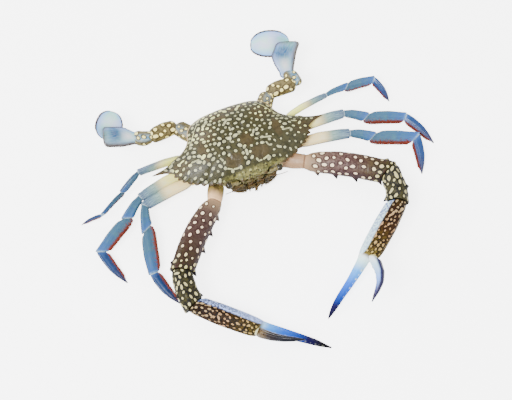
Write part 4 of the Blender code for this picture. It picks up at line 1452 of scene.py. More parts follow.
def carapace_loops(count=780):
    """Top of the dome, the plain margin and the toothed edge, as matching loops."""
    points = solid("carapace")[0]
    top = points[np.argmax(points[:, 2])]
    rim_z = points[np.abs(points[:, 0]) > np.abs(points[:, 0]).max() - 0.02, 2].max()
    levels = np.unique(np.round(points[points[:, 2] > rim_z + 0.05, 2], 2))

    def loop(height):
        row = np.unique(np.round(points[np.abs(points[:, 2] - height) < 0.03], 2), axis=0)
        return row[np.argsort(np.arctan2(row[:, 1] - top[1], row[:, 0] - top[0]))][:, :2]

    edge, inner = loop(rim_z), loop(levels[0])
    margin = top[:2] + (inner - top[:2]) / MARGIN_SHARE
    at = distances(np.vstack((edge, edge[:1])))
    margin, edge = (closed_blur(row, at, count, spread * count / at[-1],
        int(np.ceil(4 * spread * count / at[-1]))) for row, spread in ((margin, 2.4), (edge, 0.42)))
    return top, rim_z, margin, edge


dome_top, rim_z, margin_loop, edge_loop = carapace_loops()
for side, longer in SIDE_SPINES:
    edge_loop[:, 0] += side * longer * ease(side * edge_loop[:, 0], 69, 77)
scale = np.ptp(edge_loop[:, 0]) / (FULL_SPREAD + sum(longer for _, longer in SIDE_SPINES))
print("edge of the carapace:", len(edge_loop), "points, scale", round(scale, 3))


# %% Regions of the back
def pair(line, *sizes):
    """A line of the left side and its mirror image, each with its sizes."""
    return [(list(line), *sizes), ([(-x, y) for x, y in line], *sizes)]


GROOVES = (  # line, half width, depth
    *pair(((10.5, -21), (14.5, -15), (15, -7), (11, 3), (5.5, 9), (4, 14)), 1.5, 0.60),
    *pair(((5, 13.5), (9, 21), (12, 30)), 1.8, 0.40),
    *pair(((1.6, -22), (3.5, -13), (5, -6)), 1.1, 0.22),
    *pair(((16, -6), (24, -9), (33, -15), (38, -21)), 1.6, 0.35),
    ([(-5, 10.5), (0, 11.3), (5, 10.5)], 1.3, 0.40),
)
MOUNDS = (   # centre, radii, height; a mound off the middle has a twin on the other side
    (31, 9, 17, 12, 0.9), (9.5, -14.5, 6.5, 6, 0.55), (31, -19, 8, 4.5, -0.45),
    (3.4, 18, 3.4, 4.5, 0.5), (0, 1, 7, 8, 0.45), (0, 31, 9, 4.5, -0.35),
)
RIDGES = (   # line, half width, height
    *pair(((62, -1), (51, -5.2), (45, -4.6), (36.5, -4.6), (30, -3), (25, -1.5)), 0.75, 0.50),
    *pair(((15.5, -15), (9, -17.6), (2.5, -17.4)), 0.8, 0.35),
    *pair(((11, 3.6), (5, 1.4), (1, 2.2)), 0.8, 0.35),
    *pair(((43.5, 8), (41.5, 12.5), (37, 19), (32.5, 25.5), (27, 31.8)), 0.7, 0.45),
)


def along_line(x, y, line, half):
    """1 on a line of the back, falling off to both sides."""
    return bump(line_field(np.stack((x, y), axis=-1), [(line, 1.0)], far=99.0), 0, half)


def front_share(x, y):
    """1 on the lumpy band along the front, between the eyes."""
    return ease(-y, 24.5, 27.5) * (1 - ease(np.abs(x), 25, 34))


def back_relief(x, y):
    """Height to add to the plain dome, in millimetres."""
    height = np.zeros_like(x)
    for line, half, depth in GROOVES:
        height -= depth * along_line(x, y, line, half)
    for at_x, at_y, half_x, half_y, rise in MOUNDS:
        for middle_x in (at_x, -at_x)[:2 if at_x else 1]:
            height += rise * np.exp(-((x - middle_x) / half_x) ** 2 - ((y - at_y) / half_y) ** 2)
    for line, half, rise in RIDGES:
        height += rise * (0.8 + 0.2 * np.cos(x * 3.3)) * along_line(x, y, line, half)
    lumps = np.sin(2.9 * x + 1.6 * np.sin(2.2 * y)) * np.sin(2.7 * y + 1.3 * np.sin(1.8 * x))
    height += 0.45 * lumps * front_share(x, y)
    return height * scale


# %% [markdown]
# ## The pattern of the back
# Cream spots crowd the hind half and thin out forward, where two plain brown patches lie
# behind the front. A few marks are always in the same places in this animal: a white line
# behind the front, a bar on each side ridge, and pale streaks down the middle. They are drawn
# as short lines into the same distance field as the spots, so that they share the dark rim.

# %% Marks of the back
MARK_WIDTH = 0.62            # share of the half widths below that is white
MARKS = [    # line, half width
    ([(-8.7, 17.3), (-5.2, 20.4)], 1.6), ([(-4.8, 13.0), (-5.2, 10.2)], 1.2),
    ([(-7.0, 4.3), (-9.4, -0.7)], 0.6), ([(-3.4, 4.3), (0.4, 3.0)], 0.8),
    ([(13.5, 2.6), (12.0, 0.0)], 1.3), ([(19.7, -6.7), (25.1, -7.7)], 1.1),
    ([(0.5, -12.6), (0.3, -15.6)], 1.9), ([(19.5, -11.3), (20.7, -13.9)], 1.1),
    ([(27.8, -16.8), (30.2, -17.8)], 1.6), ([(37.5, -4.7), (44.2, -4.5)], 1.1),
    ([(-45.5, -4.0), (-39.9, -4.6)], 1.2), ([(-36.4, -4.6), (-34.2, -3.6)], 2.2),
    ([(-19.4, -20.6), (-16.2, -22.0)], 0.9), ([(-14.4, -22.4), (-10.2, -23.1)], 1.0),
    ([(7.6, -23.5), (10.4, -23.2)], 0.9), ([(12.6, -22.8), (17.4, -21.6)], 1.1),
    ([(-22.4, -11.3), (-21.2, -13.5)], 1.3), ([(48.5, 1.8), (52.7, 0.9)], 0.9),
    ([(-51.5, 1.0), (-54.5, 0.4)], 0.9),
    *pair(((43.2, 9.5), (41.2, 13), (36.9, 19.3), (32.3, 25.8), (28, 31)), 0.55),
]
PLAIN = (    # brown patches without spots: centre, radii
    (11.5, -17.0, 7.5, 5.0), (-11.5, -17.0, 7.5, 5.0), (34.0, 0.5, 3.6, 8.5),
    (-34.0, 0.5, 3.6, 8.5), (4.5, -4.0, 5.5, 5.5), (-9.0, 26.5, 6.0, 3.0),
)
TAN = (      # brown ground under the spots: centre, radii
    (-28, 15, 11, 10), (27, 20, 10, 8), (0, 34, 24, 4), (55, -4, 8, 6), (-55, -4, 8, 6),
)


def patch(x, y, places):
    """1 inside any of some ellipses, falling softly to 0 at one and a half radii."""
    nearest = np.min([np.hypot((x - at_x) / half_x, (y - at_y) / half_y)
        for at_x, at_y, half_x, half_y in places], axis=0)
    return 1 - ease(nearest, 0.6, 1.6)


def spot_room(x, y, share, marks):
    """Space that each spot asks for, in millimetres; 0 where there are none."""
    room = 3.65 + 0.5 * ease(-y, -2, 14) + 0.3 * ease(np.abs(x), 34, 50)
    # painted shade: spots are set wider apart on the crab's left half (x above 0), so that half
    # looks darker
    room = room + 0.5 * ease(np.abs(x), 26, 6) * (y > -6) + 0.35 * ease(x, 0, 30)
    keep = (patch(x, y, PLAIN) < 0.4) & (marks > 2.3) & (share < 0.97)
    keep &= ~((y < -23.5) & (np.abs(x) < 27))
    return room * keep


# %% Columns and rows of the carapace
EDGE_THICK = 0.9             # thickness of the toothed edge, as the solid has it
TOP_ROWS, TOOTH_ROWS = 72, 14
UNDER_ROWS = (0.94, 0.90, 0.84, 0.79, 0.74, 0.5, 0.2)


def carapace_rings():
    """Rings of points, and for each point its share of the way out and its part below."""
    centre = dome_top[:2]
    low = solid("carapace")[0][:, 2]
    flat_z = np.median(low[low < rim_z - 1.5])
    sag = flat_z - low.min()
    reach = margin_loop - centre
    sideways = np.abs(reach[:, 0] / lengths_of(reach)) ** 16
    rings, shares, under = [], [], []

    def add(places, height, share, below):
        rings.append(np.column_stack((places, np.broadcast_to(height, len(places)))))
        shares.append(np.full(len(places), share))
        under.append(np.full(len(places), below))

    def dome(share):
        return rim_z + (dome_top[2] - rim_z) * (1 - share ** 2.3) ** 0.85

    for share in np.linspace(0.012, MARGIN_SHARE, TOP_ROWS):
        add(centre + share * reach, dome(share), share, 0.0)
    inner = centre + MARGIN_SHARE * reach
    for step in range(1, TOOTH_ROWS + 1):
        part = step / TOOTH_ROWS
        height = rim_z + (dome(MARGIN_SHARE) - rim_z) * (1 - part) ** 1.25
        add(inner + part * (edge_loop - inner), height, MARGIN_SHARE + 0.05 * part, 0.0)
    outward = edge_loop - centre
    outward /= lengths_of(outward)[:, None]
    for angle in (30, 90, 150):
        swell = EDGE_THICK / 2 * sin(radians(angle)) * 0.5
        height = rim_z - EDGE_THICK / 2 * (1 - cos(radians(angle)))
        add(edge_loop + swell * outward, height, 1.0, float(angle > 90))
    add(edge_loop, rim_z - EDGE_THICK, 1.0, 1.0)
    first = centre + UNDER_ROWS[0] * reach
    for part in (0.35, 0.7):
        height = (rim_z - EDGE_THICK) * (1 - part) + flat_z * part
        add(edge_loop + part * (first - edge_loop), height, 1.0, 1.0)
    for share in UNDER_ROWS:
        drop = sag * sideways * bump(share, 0.84, 0.06)
        add(centre + share * reach, flat_z - drop, share, 1.0)
    return np.array(rings), np.array(shares), np.array(under)


# %% Build the carapace
SPOT_SIZES = (0.95, 1.6)     # radii in millimetres
rings, shares, under = carapace_rings()
shape_points, quads, triangles = skin(rings)
share, below = with_poles(shares), with_poles(under)
share[-2] = 0.0
x, y = shape_points[:, 0] / scale, shape_points[:, 1] / scale
on_top = (1 - below) * (1 - ease(share, 0.965, 1.0))
shape_points[:, 2] += back_relief(x, y) * on_top
shape_points[-2] = dome_top
flat_places = np.stack((x, y), axis=-1)
marks = line_field(flat_places, [(line, MARK_WIDTH * half) for line, half in MARKS])
chosen = strew(flat_places, spot_room(x, y, share, marks) * (below < 0.5), tries=30000)
side_share = ease(np.abs(x[chosen]), 30, 50)
sizes = rng.uniform(*SPOT_SIZES, len(chosen)) * (1 - 0.1 * side_share)
# painted shade: spots shrink toward the crab's left half (x above 0), so that half looks darker
sizes = sizes * (1 - 0.18 * ease(x[chosen], -5, 30) - 0.1 * ease(-y[chosen], 0, 12))
ways = [unit(np.array((1.0, spin))) for spin in rng.normal(0, 0.9, len(chosen))]
stretches = rng.uniform(1.0, 1.7, len(chosen)) + 0.25 * side_share
spots = spot_field(flat_places, flat_places[chosen], sizes, ways, stretches)
margin_out = lengths_of(edge_loop - margin_loop)
tooth_out = np.concatenate((np.tile(margin_out, len(rings)), [0, 0]))
brown = np.maximum(patch(x, y, PLAIN), 0.75 * patch(x, y, TAN))
carapace_layers = {
    "spot": np.minimum(spots, marks),
    "green": 1 - brown,
    "front": front_share(x, y) * (1 - below),
    "edge": ease(share, 0.985, 1.0) * ease(y, 8, 14) * (1 - below),
    "tip": ease((share - MARGIN_SHARE) / 0.05, 0.35, 0.9) * ease(tooth_out, 0.8, 2.2),
    "under": below,
}
make_piece("carapace_shell", shape_points, quads, triangles, "carapace", ["carapace"],
    carapace_layers)
print("carapace:", len(quads), "faces and", len(chosen), "spots")

# %% [markdown]
# ## The lower body
# Below the carapace lie the breastplate, with a seam between each pair of legs, and the
# narrow tail flap that a male folds under himself. Both solids are remeshed finely, so that
# seams, sockets and swellings can be pressed into them along the normals.


# %% Remesh a solid
def remeshed(node, voxel, relax):
    """A solid's surface as an even net: points, normals and four-sided faces."""
    holder = add_object("net_of_" + node, frame["nodes"][node].data.copy())
    net = holder.modifiers.new("net", "REMESH")
    net.mode = "VOXEL"
    net.voxel_size = voxel * MM
    soft = holder.modifiers.new("soft", "SMOOTH")
    soft.factor = 0.5
    soft.iterations = relax
    mesh = holder.evaluated_get(bpy.context.evaluated_depsgraph_get()).to_mesh()
    points, normals = read(mesh.vertices, "co") / MM, read(mesh.vertex_normals, "vector")
    faces = np.array([tuple(face.vertices) for face in mesh.polygons if len(face.vertices) == 4])
    bpy.data.objects.remove(holder)
    return points, normals, faces


NO_TRIANGLES = np.zeros((0, 3), dtype=int)

# %% The breastplate
SEAMS = (
    *pair(((3, -17), (20, -20), (34, -21)), 0.8), *pair(((4, -8), (20, -9), (37, -9)), 0.8),
    *pair(((5, 1), (20, 3), (37, 5)), 0.8), *pair(((7, 9), (20, 13), (35, 18)), 0.8),
    *pair(((10, 17), (18, 22), (26, 28)), 0.8), ([(0, -30), (0, -16)], 0.7),
)
points, normals, faces = remeshed("thorax", voxel=0.75, relax=6)
x, y, z = points.T
underneath = ease(-normals[:, 2], 0.3, 0.8) * (1 - ease(z, 6, 9))
seams = bump(line_field(np.stack((x, y), axis=-1), SEAMS, far=99.0), 0, 1.0)
raised = -0.55 * seams * underneath
for (limb, flank), chain in limbs.items():
    first = next(iter(chain.values()))
    away = lengths_of(points - first["start"])
    size = first["table"]["width"][0] + 0.9
    raised += 0.5 * bump(away, size + 1.2, 1.0) - 0.5 * bump(away, size - 0.8, 1.3)
front = ease(-normals[:, 1], 0.3, 0.8)
raised += front * 0.9 * bump(np.abs(x), 19, 6) * bump(z, 11, 5)
raised += front * 0.5 * bump(np.abs(x), 10.6, 0.9) * bump(z, 9, 7)
cheek = ease(-y, 20, 27) * ease(np.abs(x), 8, 11) * ease(z, 4, 9)
make_piece("thorax_shell", points + normals * raised[:, None], faces, NO_TRIANGLES, "belly",
    ["thorax"], {"cheek": cheek})

# %% The tail flap
FLAP_SEAMS = (-10.0, 0.0, 8.0, 15.0, 22.0)
points, normals, faces = remeshed("abdomen", voxel=0.45, relax=5)
x, y, z = points.T
seams = sum(bump(y, at + 0.02 * x * x, 0.5) for at in FLAP_SEAMS) * (z < 6)
seams = seams + bump(z, 8.5 + 0.01 * x * x, 0.5) * (y > 26)
raised = -0.4 * np.clip(seams, 0, 1) + 0.35 * bump(x, 0, 2.2) * (z < 12)
make_piece("abdomen_shell", points + normals * raised[:, None], faces, NO_TRIANGLES, "belly",
    ["abdomen"], {"cheek": 0.25 * ease(z, 8, 14)})
print("lower body done")

# %% [markdown]
# ## The head
# The face is what a visitor looks at longest. Two globe eyes sit on short stalks in the
# notches of the front. Between them are the folded first feelers, below them the thin whips
# of the second pair. The mouth is closed by two outer mouthparts: a long plate, a shorter
# one above it, a palp that folds down at the middle, and a slim rod at the outer side.


# %% Tubes and plates
def tube_rings(path, radii, around, flat=1.0):
    """Rings along a path, turned with it without twisting. flat squeezes them upright."""
    path = np.asarray(path, dtype=float)
    ways = np.gradient(path, axis=0)
    ways /= lengths_of(ways)[:, None]
    side = unit(np.cross(ways[0], (0.12, 0.2, 1.0)))
    turn = np.arange(around) * 2 * pi / around
    rings = []
    for place, way, radius in zip(path, ways, radii):
        side = unit(side - way * (side @ way))
        up = np.cross(side, way)
        turned = np.cos(turn)[:, None] * side + flat * np.sin(turn)[:, None] * up
        rings.append(place + radius * turned)
    return np.array(rings)


def along_path(corners, count, blur):
    """A path through corners, smoothed, and the share of its length at each point."""
    corners = np.asarray(corners, dtype=float)
    at, share = distances(corners), np.linspace(0, 1, count)
    path = np.stack([smoothed(np.interp(share * at[-1], at, corners[:, i]), blur)
        for i in range(corners.shape[1])], axis=1)
    return path, share


def mirrored(side, *places):
    """Places of the left side, on either side."""
    return [(side * x, y, z) for x, y, z in places]


def tube_piece(name, corners, sizes, finish, slot, nodes=(), count=60, rings=0.0, around=14,
               **layers):
    """A tube through corners. sizes are (share, radius) pairs, rings are fine rings on it, and
    a layer is given by its start, its rise along the tube and the power of that rise."""
    path, share = along_path(corners, count, count / 14)
    radii = np.interp(share, *zip(*sizes)) * (1 + rings * np.cos(share * count * 2.1))
    ends = np.sqrt(np.clip(np.minimum(share, 1 - share) * count / 3, 0.05, 1))
    points, quads, triangles = skin(tube_rings(path, radii * ends, around))
    along = np.concatenate((np.repeat(share, around), [0, 1]))
    values = {layer: start + rise * along ** power
        for layer, (start, rise, power) in layers.items()}
    make_piece(name, points, quads, triangles, finish, nodes, {"along": along, **values})


def rounded(outline, count=64, blur=2.8):
    """A closed outline with rounded corners, at even steps."""
    at = distances(np.vstack((outline, outline[:1])))
    return closed_blur(outline, at, count, blur, int(3 * blur))


# (share of the thickness, share of the outline) from the back of a plate to its swollen face
PLATE_ROWS = ((0.0, 0.84), (0.12, 0.95), (0.4, 1.0), (0.7, 0.99), (0.88, 0.94), (1.0, 0.86),
    (1.1, 0.74), (1.17, 0.6), (1.22, 0.45), (1.25, 0.3), (1.26, 0.14))


def plate_piece(name, outline, side, back, front, finish, nodes=(), pale=0.0, groove=None):
    """A swollen plate that faces forward. back and front give its y; front may lean with z."""
    outline = rounded(np.array(outline, dtype=float))
    middle_point = outline.mean(axis=0)
    rings = []
    for depth, share in PLATE_ROWS:
        places = middle_point + (outline - middle_point) * share
        face = np.interp(places[:, 1], *zip(*front))
        y = back + (face - back) * depth
        if groove is not None and depth >= 1.0:
            y = y + 0.45 * bump(places[:, 0], groove, 0.5)
        rings.append(np.column_stack((side * places[:, 0], y, places[:, 1])))
    points, quads, triangles = skin(np.array(rings))
    shade = pale + 0.5 * (1 - ease(np.abs(points[:, 1] - back), 0.5, 3.0))
    make_piece(name, points, quads, triangles, finish, nodes,
        {"pale": np.clip(shade, 0, 1), "cheek": 1.0})


# %% Mouthparts
FACE = ((2.0, -32.6), (5.0, -34.0), (9.0, -35.1), (12.5, -35.2), (15.6, -34.2))
BACK = -31.0
PLATES = {   # outline seen from in front (x, z), extra pallor, place of a groove
    "ischium": (((0.35, 2.6), (0.3, 9.1), (2.6, 9.5), (5.1, 9.2), (5.3, 5.4), (4.2, 2.3)),
                0.1, 3.7),
    "merus": (((0.55, 9.8), (0.8, 14.3), (3.0, 15.5), (6.6, 15.3), (7.3, 13.2), (5.6, 9.8)),
              0.25, None),
    "rod": (((5.7, 2.6), (5.9, 10.6), (7.6, 13.2), (7.9, 8.0), (7.4, 3.2)), 0.0, 6.7),
    "jamb": (((8.0, 4.2), (8.1, 14.6), (9.3, 15.2), (9.3, 5.2)), 0.4, None),
}
for flank, side in SIDES:
    for part, (outline, pale, groove) in PLATES.items():
        plate_piece(f"mouth_{flank}_{part}", outline, side, BACK, FACE, "mouth",
            [f"mouth_{flank}"], pale, groove)
    palp = mirrored(side, (3.4, -35.6, 14.6), (2.0, -36.4, 13.9), (1.15, -36.7, 12.2),
        (1.0, -36.6, 10.0), (0.9, -36.0, 7.6), (0.8, -35.2, 6.2))
    tube_piece(f"mouth_{flank}_palp", palp, ((0, 0.9), (0.2, 1.0), (0.3, 0.75), (0.45, 0.95),
        (0.6, 0.65), (0.75, 0.7), (1.0, 0.2)), "mouth", "mouthparts", pale=(0.35, 0.4, 1))
    whip = mirrored(side, (6.9, -34.9, 13.0), (5.4, -36.0, 14.8), (3.2, -36.2, 15.4))
    tube_piece(f"mouth_{flank}_whip", whip, ((0, 0.5), (1.0, 0.15)), "mouth", "mouthparts", (), 50,
        0.12, 10, pale=(0.6, 0, 1))
print("mouthparts done")

# %% Folds beside the mouth
FOLDS = ((14.8, -32.7, 1.5), (11.6, -33.3, 1.9), (8.2, -32.8, 1.6))    # z, y, radius
for flank, side in SIDES:
    for row, (z, y, radius) in enumerate(FOLDS):
        fold = mirrored(side, (8.4, y - 0.9, z), (12.5, y - 0.5, z + 0.6), (16.5, y + 0.5, z + 1.6),
            (21.5, y + 2.8, z + 3.2))
        tube_piece(f"cheek_{flank}_fold_{row + 1}", fold, ((0, 0.7 * radius), (0.15, radius),
            (0.3, 0.8 * radius), (0.45, radius), (0.6, 0.8 * radius), (0.75, 0.9 * radius),
            (1.0, 0.5)), "mouth", "mouthparts", (), 90, 0.07, 20, pale=(0.12, 0.5, 3))

# %% The bar above the mouth and the first feelers
for flank, side in SIDES:
    plate_piece(f"epistome_{flank}", ((0.2, 15.9), (0.2, 18.6), (5.0, 18.9), (9.6, 18.2),
        (9.4, 16.2)), side, -30.8, ((15.9, -32.8), (18.9, -32.2)), "belly")
    base = mirrored(side, (1.2, -32.7, 19.9), (3.0, -33.4, 20.0), (5.6, -33.6, 19.9),
        (7.6, -33.0, 19.6))
    tube_piece(f"first_feeler_{flank}_root", base, ((0, 0.7), (0.5, 1.35), (1, 0.8)), "mouth",
        "mouthparts", around=18, pale=(0.5, 0.3, 1))
    curl = mirrored(side, (2.2, -34.4, 20.3), (3.2, -36.0, 20.9), (4.9, -37.0, 21.0),
        (6.6, -36.6, 20.6), (7.4, -35.6, 20.1))
    tube_piece(f"first_feeler_{flank}_whip", curl, ((0, 0.55), (0.4, 0.42), (1, 0.14)), "feeler",
        "feeler", (), 70, 0.12, 10)


# %% Eyes
# (share of the way from the seat to the tip, share of the full radius)
EYE_PROFILE = ((-0.02, 0.30), (0.0, 0.44), (0.08, 0.54), (0.2, 0.50), (0.34, 0.50), (0.44, 0.60),
    (0.5, 0.74), (0.53, 0.84), (0.555, 0.87), (0.575, 0.83), (0.595, 0.85), (0.64, 0.93),
    (0.70, 0.985), (0.76, 1.0), (0.82, 0.97), (0.87, 0.88), (0.92, 0.74), (0.96, 0.55),
    (0.985, 0.35), (1.0, 0.14))
CORNEA_FROM = 0.585


def end_of(points, way, reach=0.4):
    """Middle of the end of a solid in one direction."""
    height = points @ way
    return middle(points[height > height.max() - reach])


for flank, side in SIDES:
    shape = solid(f"eye_{flank}")
    outward = np.array((side, 0.0, 0.0))
    seat, tip = end_of(shape[0], -outward), end_of(shape[0], outward)
    way = unit(tip - seat)
    radius = max(np.ptp(slice_of(shape, seat + (tip - seat) * 0.75, way) @ axis) / 2
        for axis in ((0, 1, 0), (0, 0, 1)))
    share = np.array([row[0] for row in EYE_PROFILE])
    share = np.interp(np.linspace(0, len(share) - 1, 58), np.arange(len(share)), share)
    size = smoothed(np.interp(share, *zip(*EYE_PROFILE)), 1.0) * radius * 1.03
    rings = tube_rings(seat + share[:, None] * (tip - seat), size, 40, 0.94)
    points, quads, triangles = skin(rings)
    cornea = ease(share, CORNEA_FROM - 0.012, CORNEA_FROM + 0.012)
    cornea = np.concatenate((np.repeat(cornea, 40), [0, 1]))
    make_piece(f"eye_{flank}_shell", points, quads, triangles, "eye", [f"eye_{flank}"],
        {"cornea": cornea})
print("eyes done")

# %% The second feelers
for flank, side in SIDES:
    name = f"antenna_{flank}"
    shape = solid(name)
    ends = sorted((shape[0][:, 0].min() + 0.1, shape[0][:, 0].max() - 0.1), key=abs)
    cuts = [slice_of(shape, np.array((at, 0.0, 0.0)), np.array((1.0, 0.0, 0.0)))
        for at in np.linspace(*ends, 12)]
    path = [middle(cut) for cut in cuts]
    radii = [max(0.3, np.ptp(cut[:, 2]) / 2) for cut in cuts]
    shares = np.linspace(0, 1, 12)
    sizes = [(at, radius * (1.25 if at < 0.1 else 1.0)) for at, radius in zip(shares, radii)]
    tube_piece(f"{name}_shell", path, sizes, "feeler", "feeler", [name], 110, 0.10, 12)
    knuckle = [path[0] + (side * -0.6, 0.3, 0.4), path[0] + (side * 1.2, -0.9, 0.0),
        path[1] + (side * 0.8, -0.5, 0.0)]
    tube_piece(f"{name}_root", knuckle, ((0, 1.3), (0.3, 1.6), (0.5, 1.05), (0.7, 1.25), (1, 0.6)),
        "mouth", "feeler", pale=(0.3, 0.3, 1))
    brow = mirrored(side, (12.0, -31.4, 18.0), (17.0, -31.3, 17.2), (23.0, -30.0, 17.4),
        (27.5, -27.8, 18.6))
    tube_piece(f"eye_rest_{flank}", brow, ((0, 0.8), (0.5, 1.3), (1, 0.8)), "belly", "belly", (),
        70, 0.10, 14, cheek=(0.7, 0, 1))
print("head done")

# %% [markdown]
# ## Fringes and hair
# This crab's coat is sparse: a dense red fringe along the inner edge of the last two segments
# of each walking leg, a short brown fringe round the oars, and tufts about the mouth. Every
# hair is a closed, bent spike of ten faces. Its place on the unwrapped skin, which is the
# share of the length against the angle round the limb, is kept in a UV map, so that a hair
# and the skin below it can be painted alike.


# %% Grow hairs
HAIR_FACES = ((0, 2, 1), (0, 1, 4), (0, 4, 3), (1, 2, 5), (1, 5, 4), (2, 0, 3), (2, 3, 5),
    (3, 4, 6), (4, 5, 6), (5, 3, 6))
PATCH = 0.0015               # half the width of a hair's place on the unwrapped skin
CORNERS = np.array([(cos(a), sin(a)) for a in (0, 2 * pi / 3, 4 * pi / 3)])


def grow(name, roots, ways, lengths, radius, finish, places, bend=0.3):
    """One piece of many hairs. ways need not be of length 1; they bend away from the root."""
    count = len(roots)
    ways = ways / lengths_of(ways)[:, None]
    side = np.cross(ways, (0.31, 0.17, 0.93))
    side /= lengths_of(side)[:, None]
    up = np.cross(ways, side)
    sag = side * rng.normal(0, bend, (count, 1)) + up * rng.normal(0, bend, (count, 1))
    hairs = np.empty((count, 7, 3))
    for k, (x, y) in enumerate(CORNERS):
        corner = side * x + up * y
        hairs[:, k] = roots + corner * radius - ways * 0.2
        hairs[:, 3 + k] = roots + corner * radius * 0.7 + ways * (0.5 * lengths)[:, None]
    hairs[:, 6] = roots + (ways + 0.5 * sag) * lengths[:, None]
    hairs[:, 3:6] += (0.12 * sag * lengths[:, None])[:, None, :]
    faces = np.array(HAIR_FACES)[None] + 7 * np.arange(count)[:, None, None]
    spread = np.array([(-1, -1), (1, -1), (0, 1), (-0.6, 0), (0.6, 0), (0, 0.6), (0, 0.2)])
    uv = np.clip(places, 0.002, 0.998)[:, None, :] + spread[None] * PATCH
    layers = {"along": np.tile((0, 0, 0, 0.5, 0.5, 0.5, 1), count),
        "shade": np.repeat(rng.uniform(0, 1, count), 7)}
    make_piece(name, hairs.reshape(-1, 3), np.zeros((0, 4), dtype=int), faces.reshape(-1, 3),
        finish, (), layers, uv.reshape(-1, 2))


def edge_roots(segment, count, centre, spread, start=0.04, end=0.97):
    """Roots along one edge of a segment's skin: points, outward ways and unwrapped places."""
    rings, at = segment["rings"], segment["row_along"]
    rows, around = rings.shape[:2]
    share = rng.uniform(start, end, count)
    row = np.clip(np.interp(share, at, np.arange(rows)), 0, rows - 1.001)
    turn = (rng.normal(centre, spread, count) / 360) % 1.0
    column = turn * around
    i, j = row.astype(int), column.astype(int) % around

    def on_ring(ring):
        share = (column % 1)[:, None]
        return rings[ring, j] * (1 - share) + rings[ring, (j + 1) % around] * share

    points = on_ring(i) * (1 - row % 1)[:, None] + on_ring(i + 1) * (row % 1)[:, None]
    outward = points - rings[i].mean(axis=1)
    outward /= lengths_of(outward)[:, None]
    return points, outward, np.stack((share, turn), axis=1)


# %% Red fringes of the walking legs
FRINGES = {                  # hairs per segment and their length
    ("leg2", "propodus"): (3200, 1.9), ("leg2", "dactyl"): (2400, 1.8),
    ("leg3", "propodus"): (3200, 1.9), ("leg3", "dactyl"): (2400, 1.8),
    ("leg4", "propodus"): (1300, 1.3), ("leg4", "dactyl"): (1200, 1.5),
}
for (limb, kind), (count, reach) in FRINGES.items():
    for flank, side in SIDES:
        segment = limbs[limb, flank][kind]
        start, end = (0.02, 0.96) if kind == "propodus" else (0.04, 0.9)
        roots, outward, places = edge_roots(segment, count, 0, 24, start, end)
        way, flexor, _ = segment["axes"]
        ways = 0.45 * outward + 0.8 * flexor + 0.45 * way + rng.normal(0, 0.12, (count, 3))
        fade = np.clip(np.minimum(places[:, 0] - start, end - places[:, 0]) / 0.12, 0.35, 1)
        lengths = reach * rng.uniform(0.75, 1.1, count) * fade
        grow(f"{segment['name']}_fringe", roots, ways, lengths, 0.10, "red_fringe", places)
print("red fringes done")

# %% Brown fringes of the oars
for flank, side in SIDES:
    for kind, count in (("propodus", 900), ("paddle", 1500)):
        segment = limbs["swimmer", flank][kind]
        for edge, centre in (("inner", 0), ("outer", 180)):
            roots, outward, places = edge_roots(segment, count, centre, 5, 0.2, 0.985)
            way = segment["axes"][0]
            ways = outward + 0.5 * way + rng.normal(0, 0.1, (count, 3))
            lengths = 0.8 * rng.uniform(0.6, 1.1, count)
            grow(f"{segment['name']}_{edge}_fringe", roots, ways, lengths, 0.055, "oar_hair",
                places)

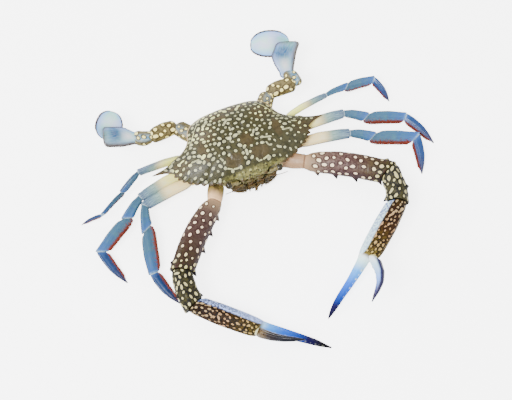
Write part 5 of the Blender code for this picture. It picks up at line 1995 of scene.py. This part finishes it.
# %% Hair about the mouth
TUFTS = (    # path of the roots on the left side, way, hairs, length
    (((0.5, -35.6, 3.2), (0.6, -36.2, 9.0), (0.9, -36.6, 14.0)), (0.1, -1.0, -0.25), 420, 1.7),
    (((0.9, -35.0, 15.4), (4.0, -35.3, 15.6), (7.2, -34.6, 14.9)), (0.1, -0.9, 0.5), 420, 2.0),
    (((5.4, -34.6, 4.0), (5.6, -35.2, 9.0), (6.8, -35.0, 13.2)), (0.2, -1.0, 0.0), 300, 1.1),
    (((9.6, -33.6, 16.4), (14.0, -33.4, 16.6), (20.0, -31.6, 17.6), (26.0, -28.6, 18.4)),
     (0.1, -0.9, -0.3), 700, 1.3),
    (((8.6, -34.8, 7.6), (12.5, -34.6, 8.2), (16.5, -33.6, 9.4), (20.5, -31.6, 10.8)),
     (0.1, -0.9, -0.4), 600, 2.0),
)
for flank, side in SIDES:
    roots, ways, lengths, places = [], [], [], []
    for row, (corners, way, count, reach) in enumerate(TUFTS):
        path, share = along_path(corners, count, count / 12)
        roots.append(path + rng.normal(0, 0.22, (count, 3)))
        ways.append(np.array(way) + rng.normal(0, 0.22, (count, 3)))
        lengths.append(reach * rng.uniform(0.6, 1.1, count))
        places.append(np.stack((share, np.full(count, (row + 0.5) / len(TUFTS))), axis=1))
    roots, ways = np.vstack(roots), np.vstack(ways)
    roots[:, 0] *= side
    ways[:, 0] *= side
    grow(f"mouth_{flank}_hair", roots, ways, np.concatenate(lengths), 0.075, "mouth_hair",
        np.vstack(places))
print("hair done")

# %% [markdown]
# ## Floor and light
# A pale floor, a white room and three large soft lamps, as in a museum's studio. The
# key lamp stands high behind the camera's left shoulder, so that ridges and spines still
# throw a soft shade.

# %% Floor
FLOOR_LIFT = 4.0             # extra light of the floor toward the camera alone


def floor_material():
    material, shader = new_material("pale_floor")
    cloud = noise(2.0, detail=2.0)
    seen = put("ShaderNodeLightPath").outputs["Is Camera Ray"]
    greys = ((0.90, 0.90, 0.90, 1.0), (0.93, 0.93, 0.93, 1.0))
    fill(shader, {"Base Color": mixed(cloud, *greys), "Roughness": 0.9, "Emission Strength":
        times(seen, FLOOR_LIFT)})
    return material


FLOOR_HALF = 2.5
floor_mesh = bpy.data.meshes.new("floor")
corners = [(x * FLOOR_HALF, y * FLOOR_HALF, 0) for x, y in ((-1, -1), (1, -1), (1, 1), (-1, 1))]
floor_mesh.from_pydata(corners, [], [(0, 1, 2, 3)])
floor_mesh.materials.append(floor_material())
floor = add_object("floor", floor_mesh)


# %% Lamps and room light
def soft_lamp(name, place, target, size, power):
    """A square area lamp that faces a target, all in metres."""
    lamp = bpy.data.lights.new(name, "AREA")
    lamp.shape = "SQUARE"
    lamp.size = size
    lamp.energy = power
    place_and_aim(add_object(name, lamp), place, Vector(target) - Vector(place))


soft_lamp("key", (-0.9, -0.5, 1.5), (0, -0.03, 0), 0.8, 58.0)
soft_lamp("fill", (1.2, -0.6, 1.1), (0, -0.03, 0), 1.2, 10.0)
soft_lamp("back", (-0.9, 1.2, 0.9), (0, 0, 0), 1.0, 24.0)
world = bpy.data.worlds.new("white_room")
world.use_nodes = True
background = world.node_tree.nodes["Background"]
background.inputs["Color"].default_value = (1.0, 1.0, 1.0, 1.0)
background.inputs["Strength"].default_value = 1.0
bpy.context.scene.world = world
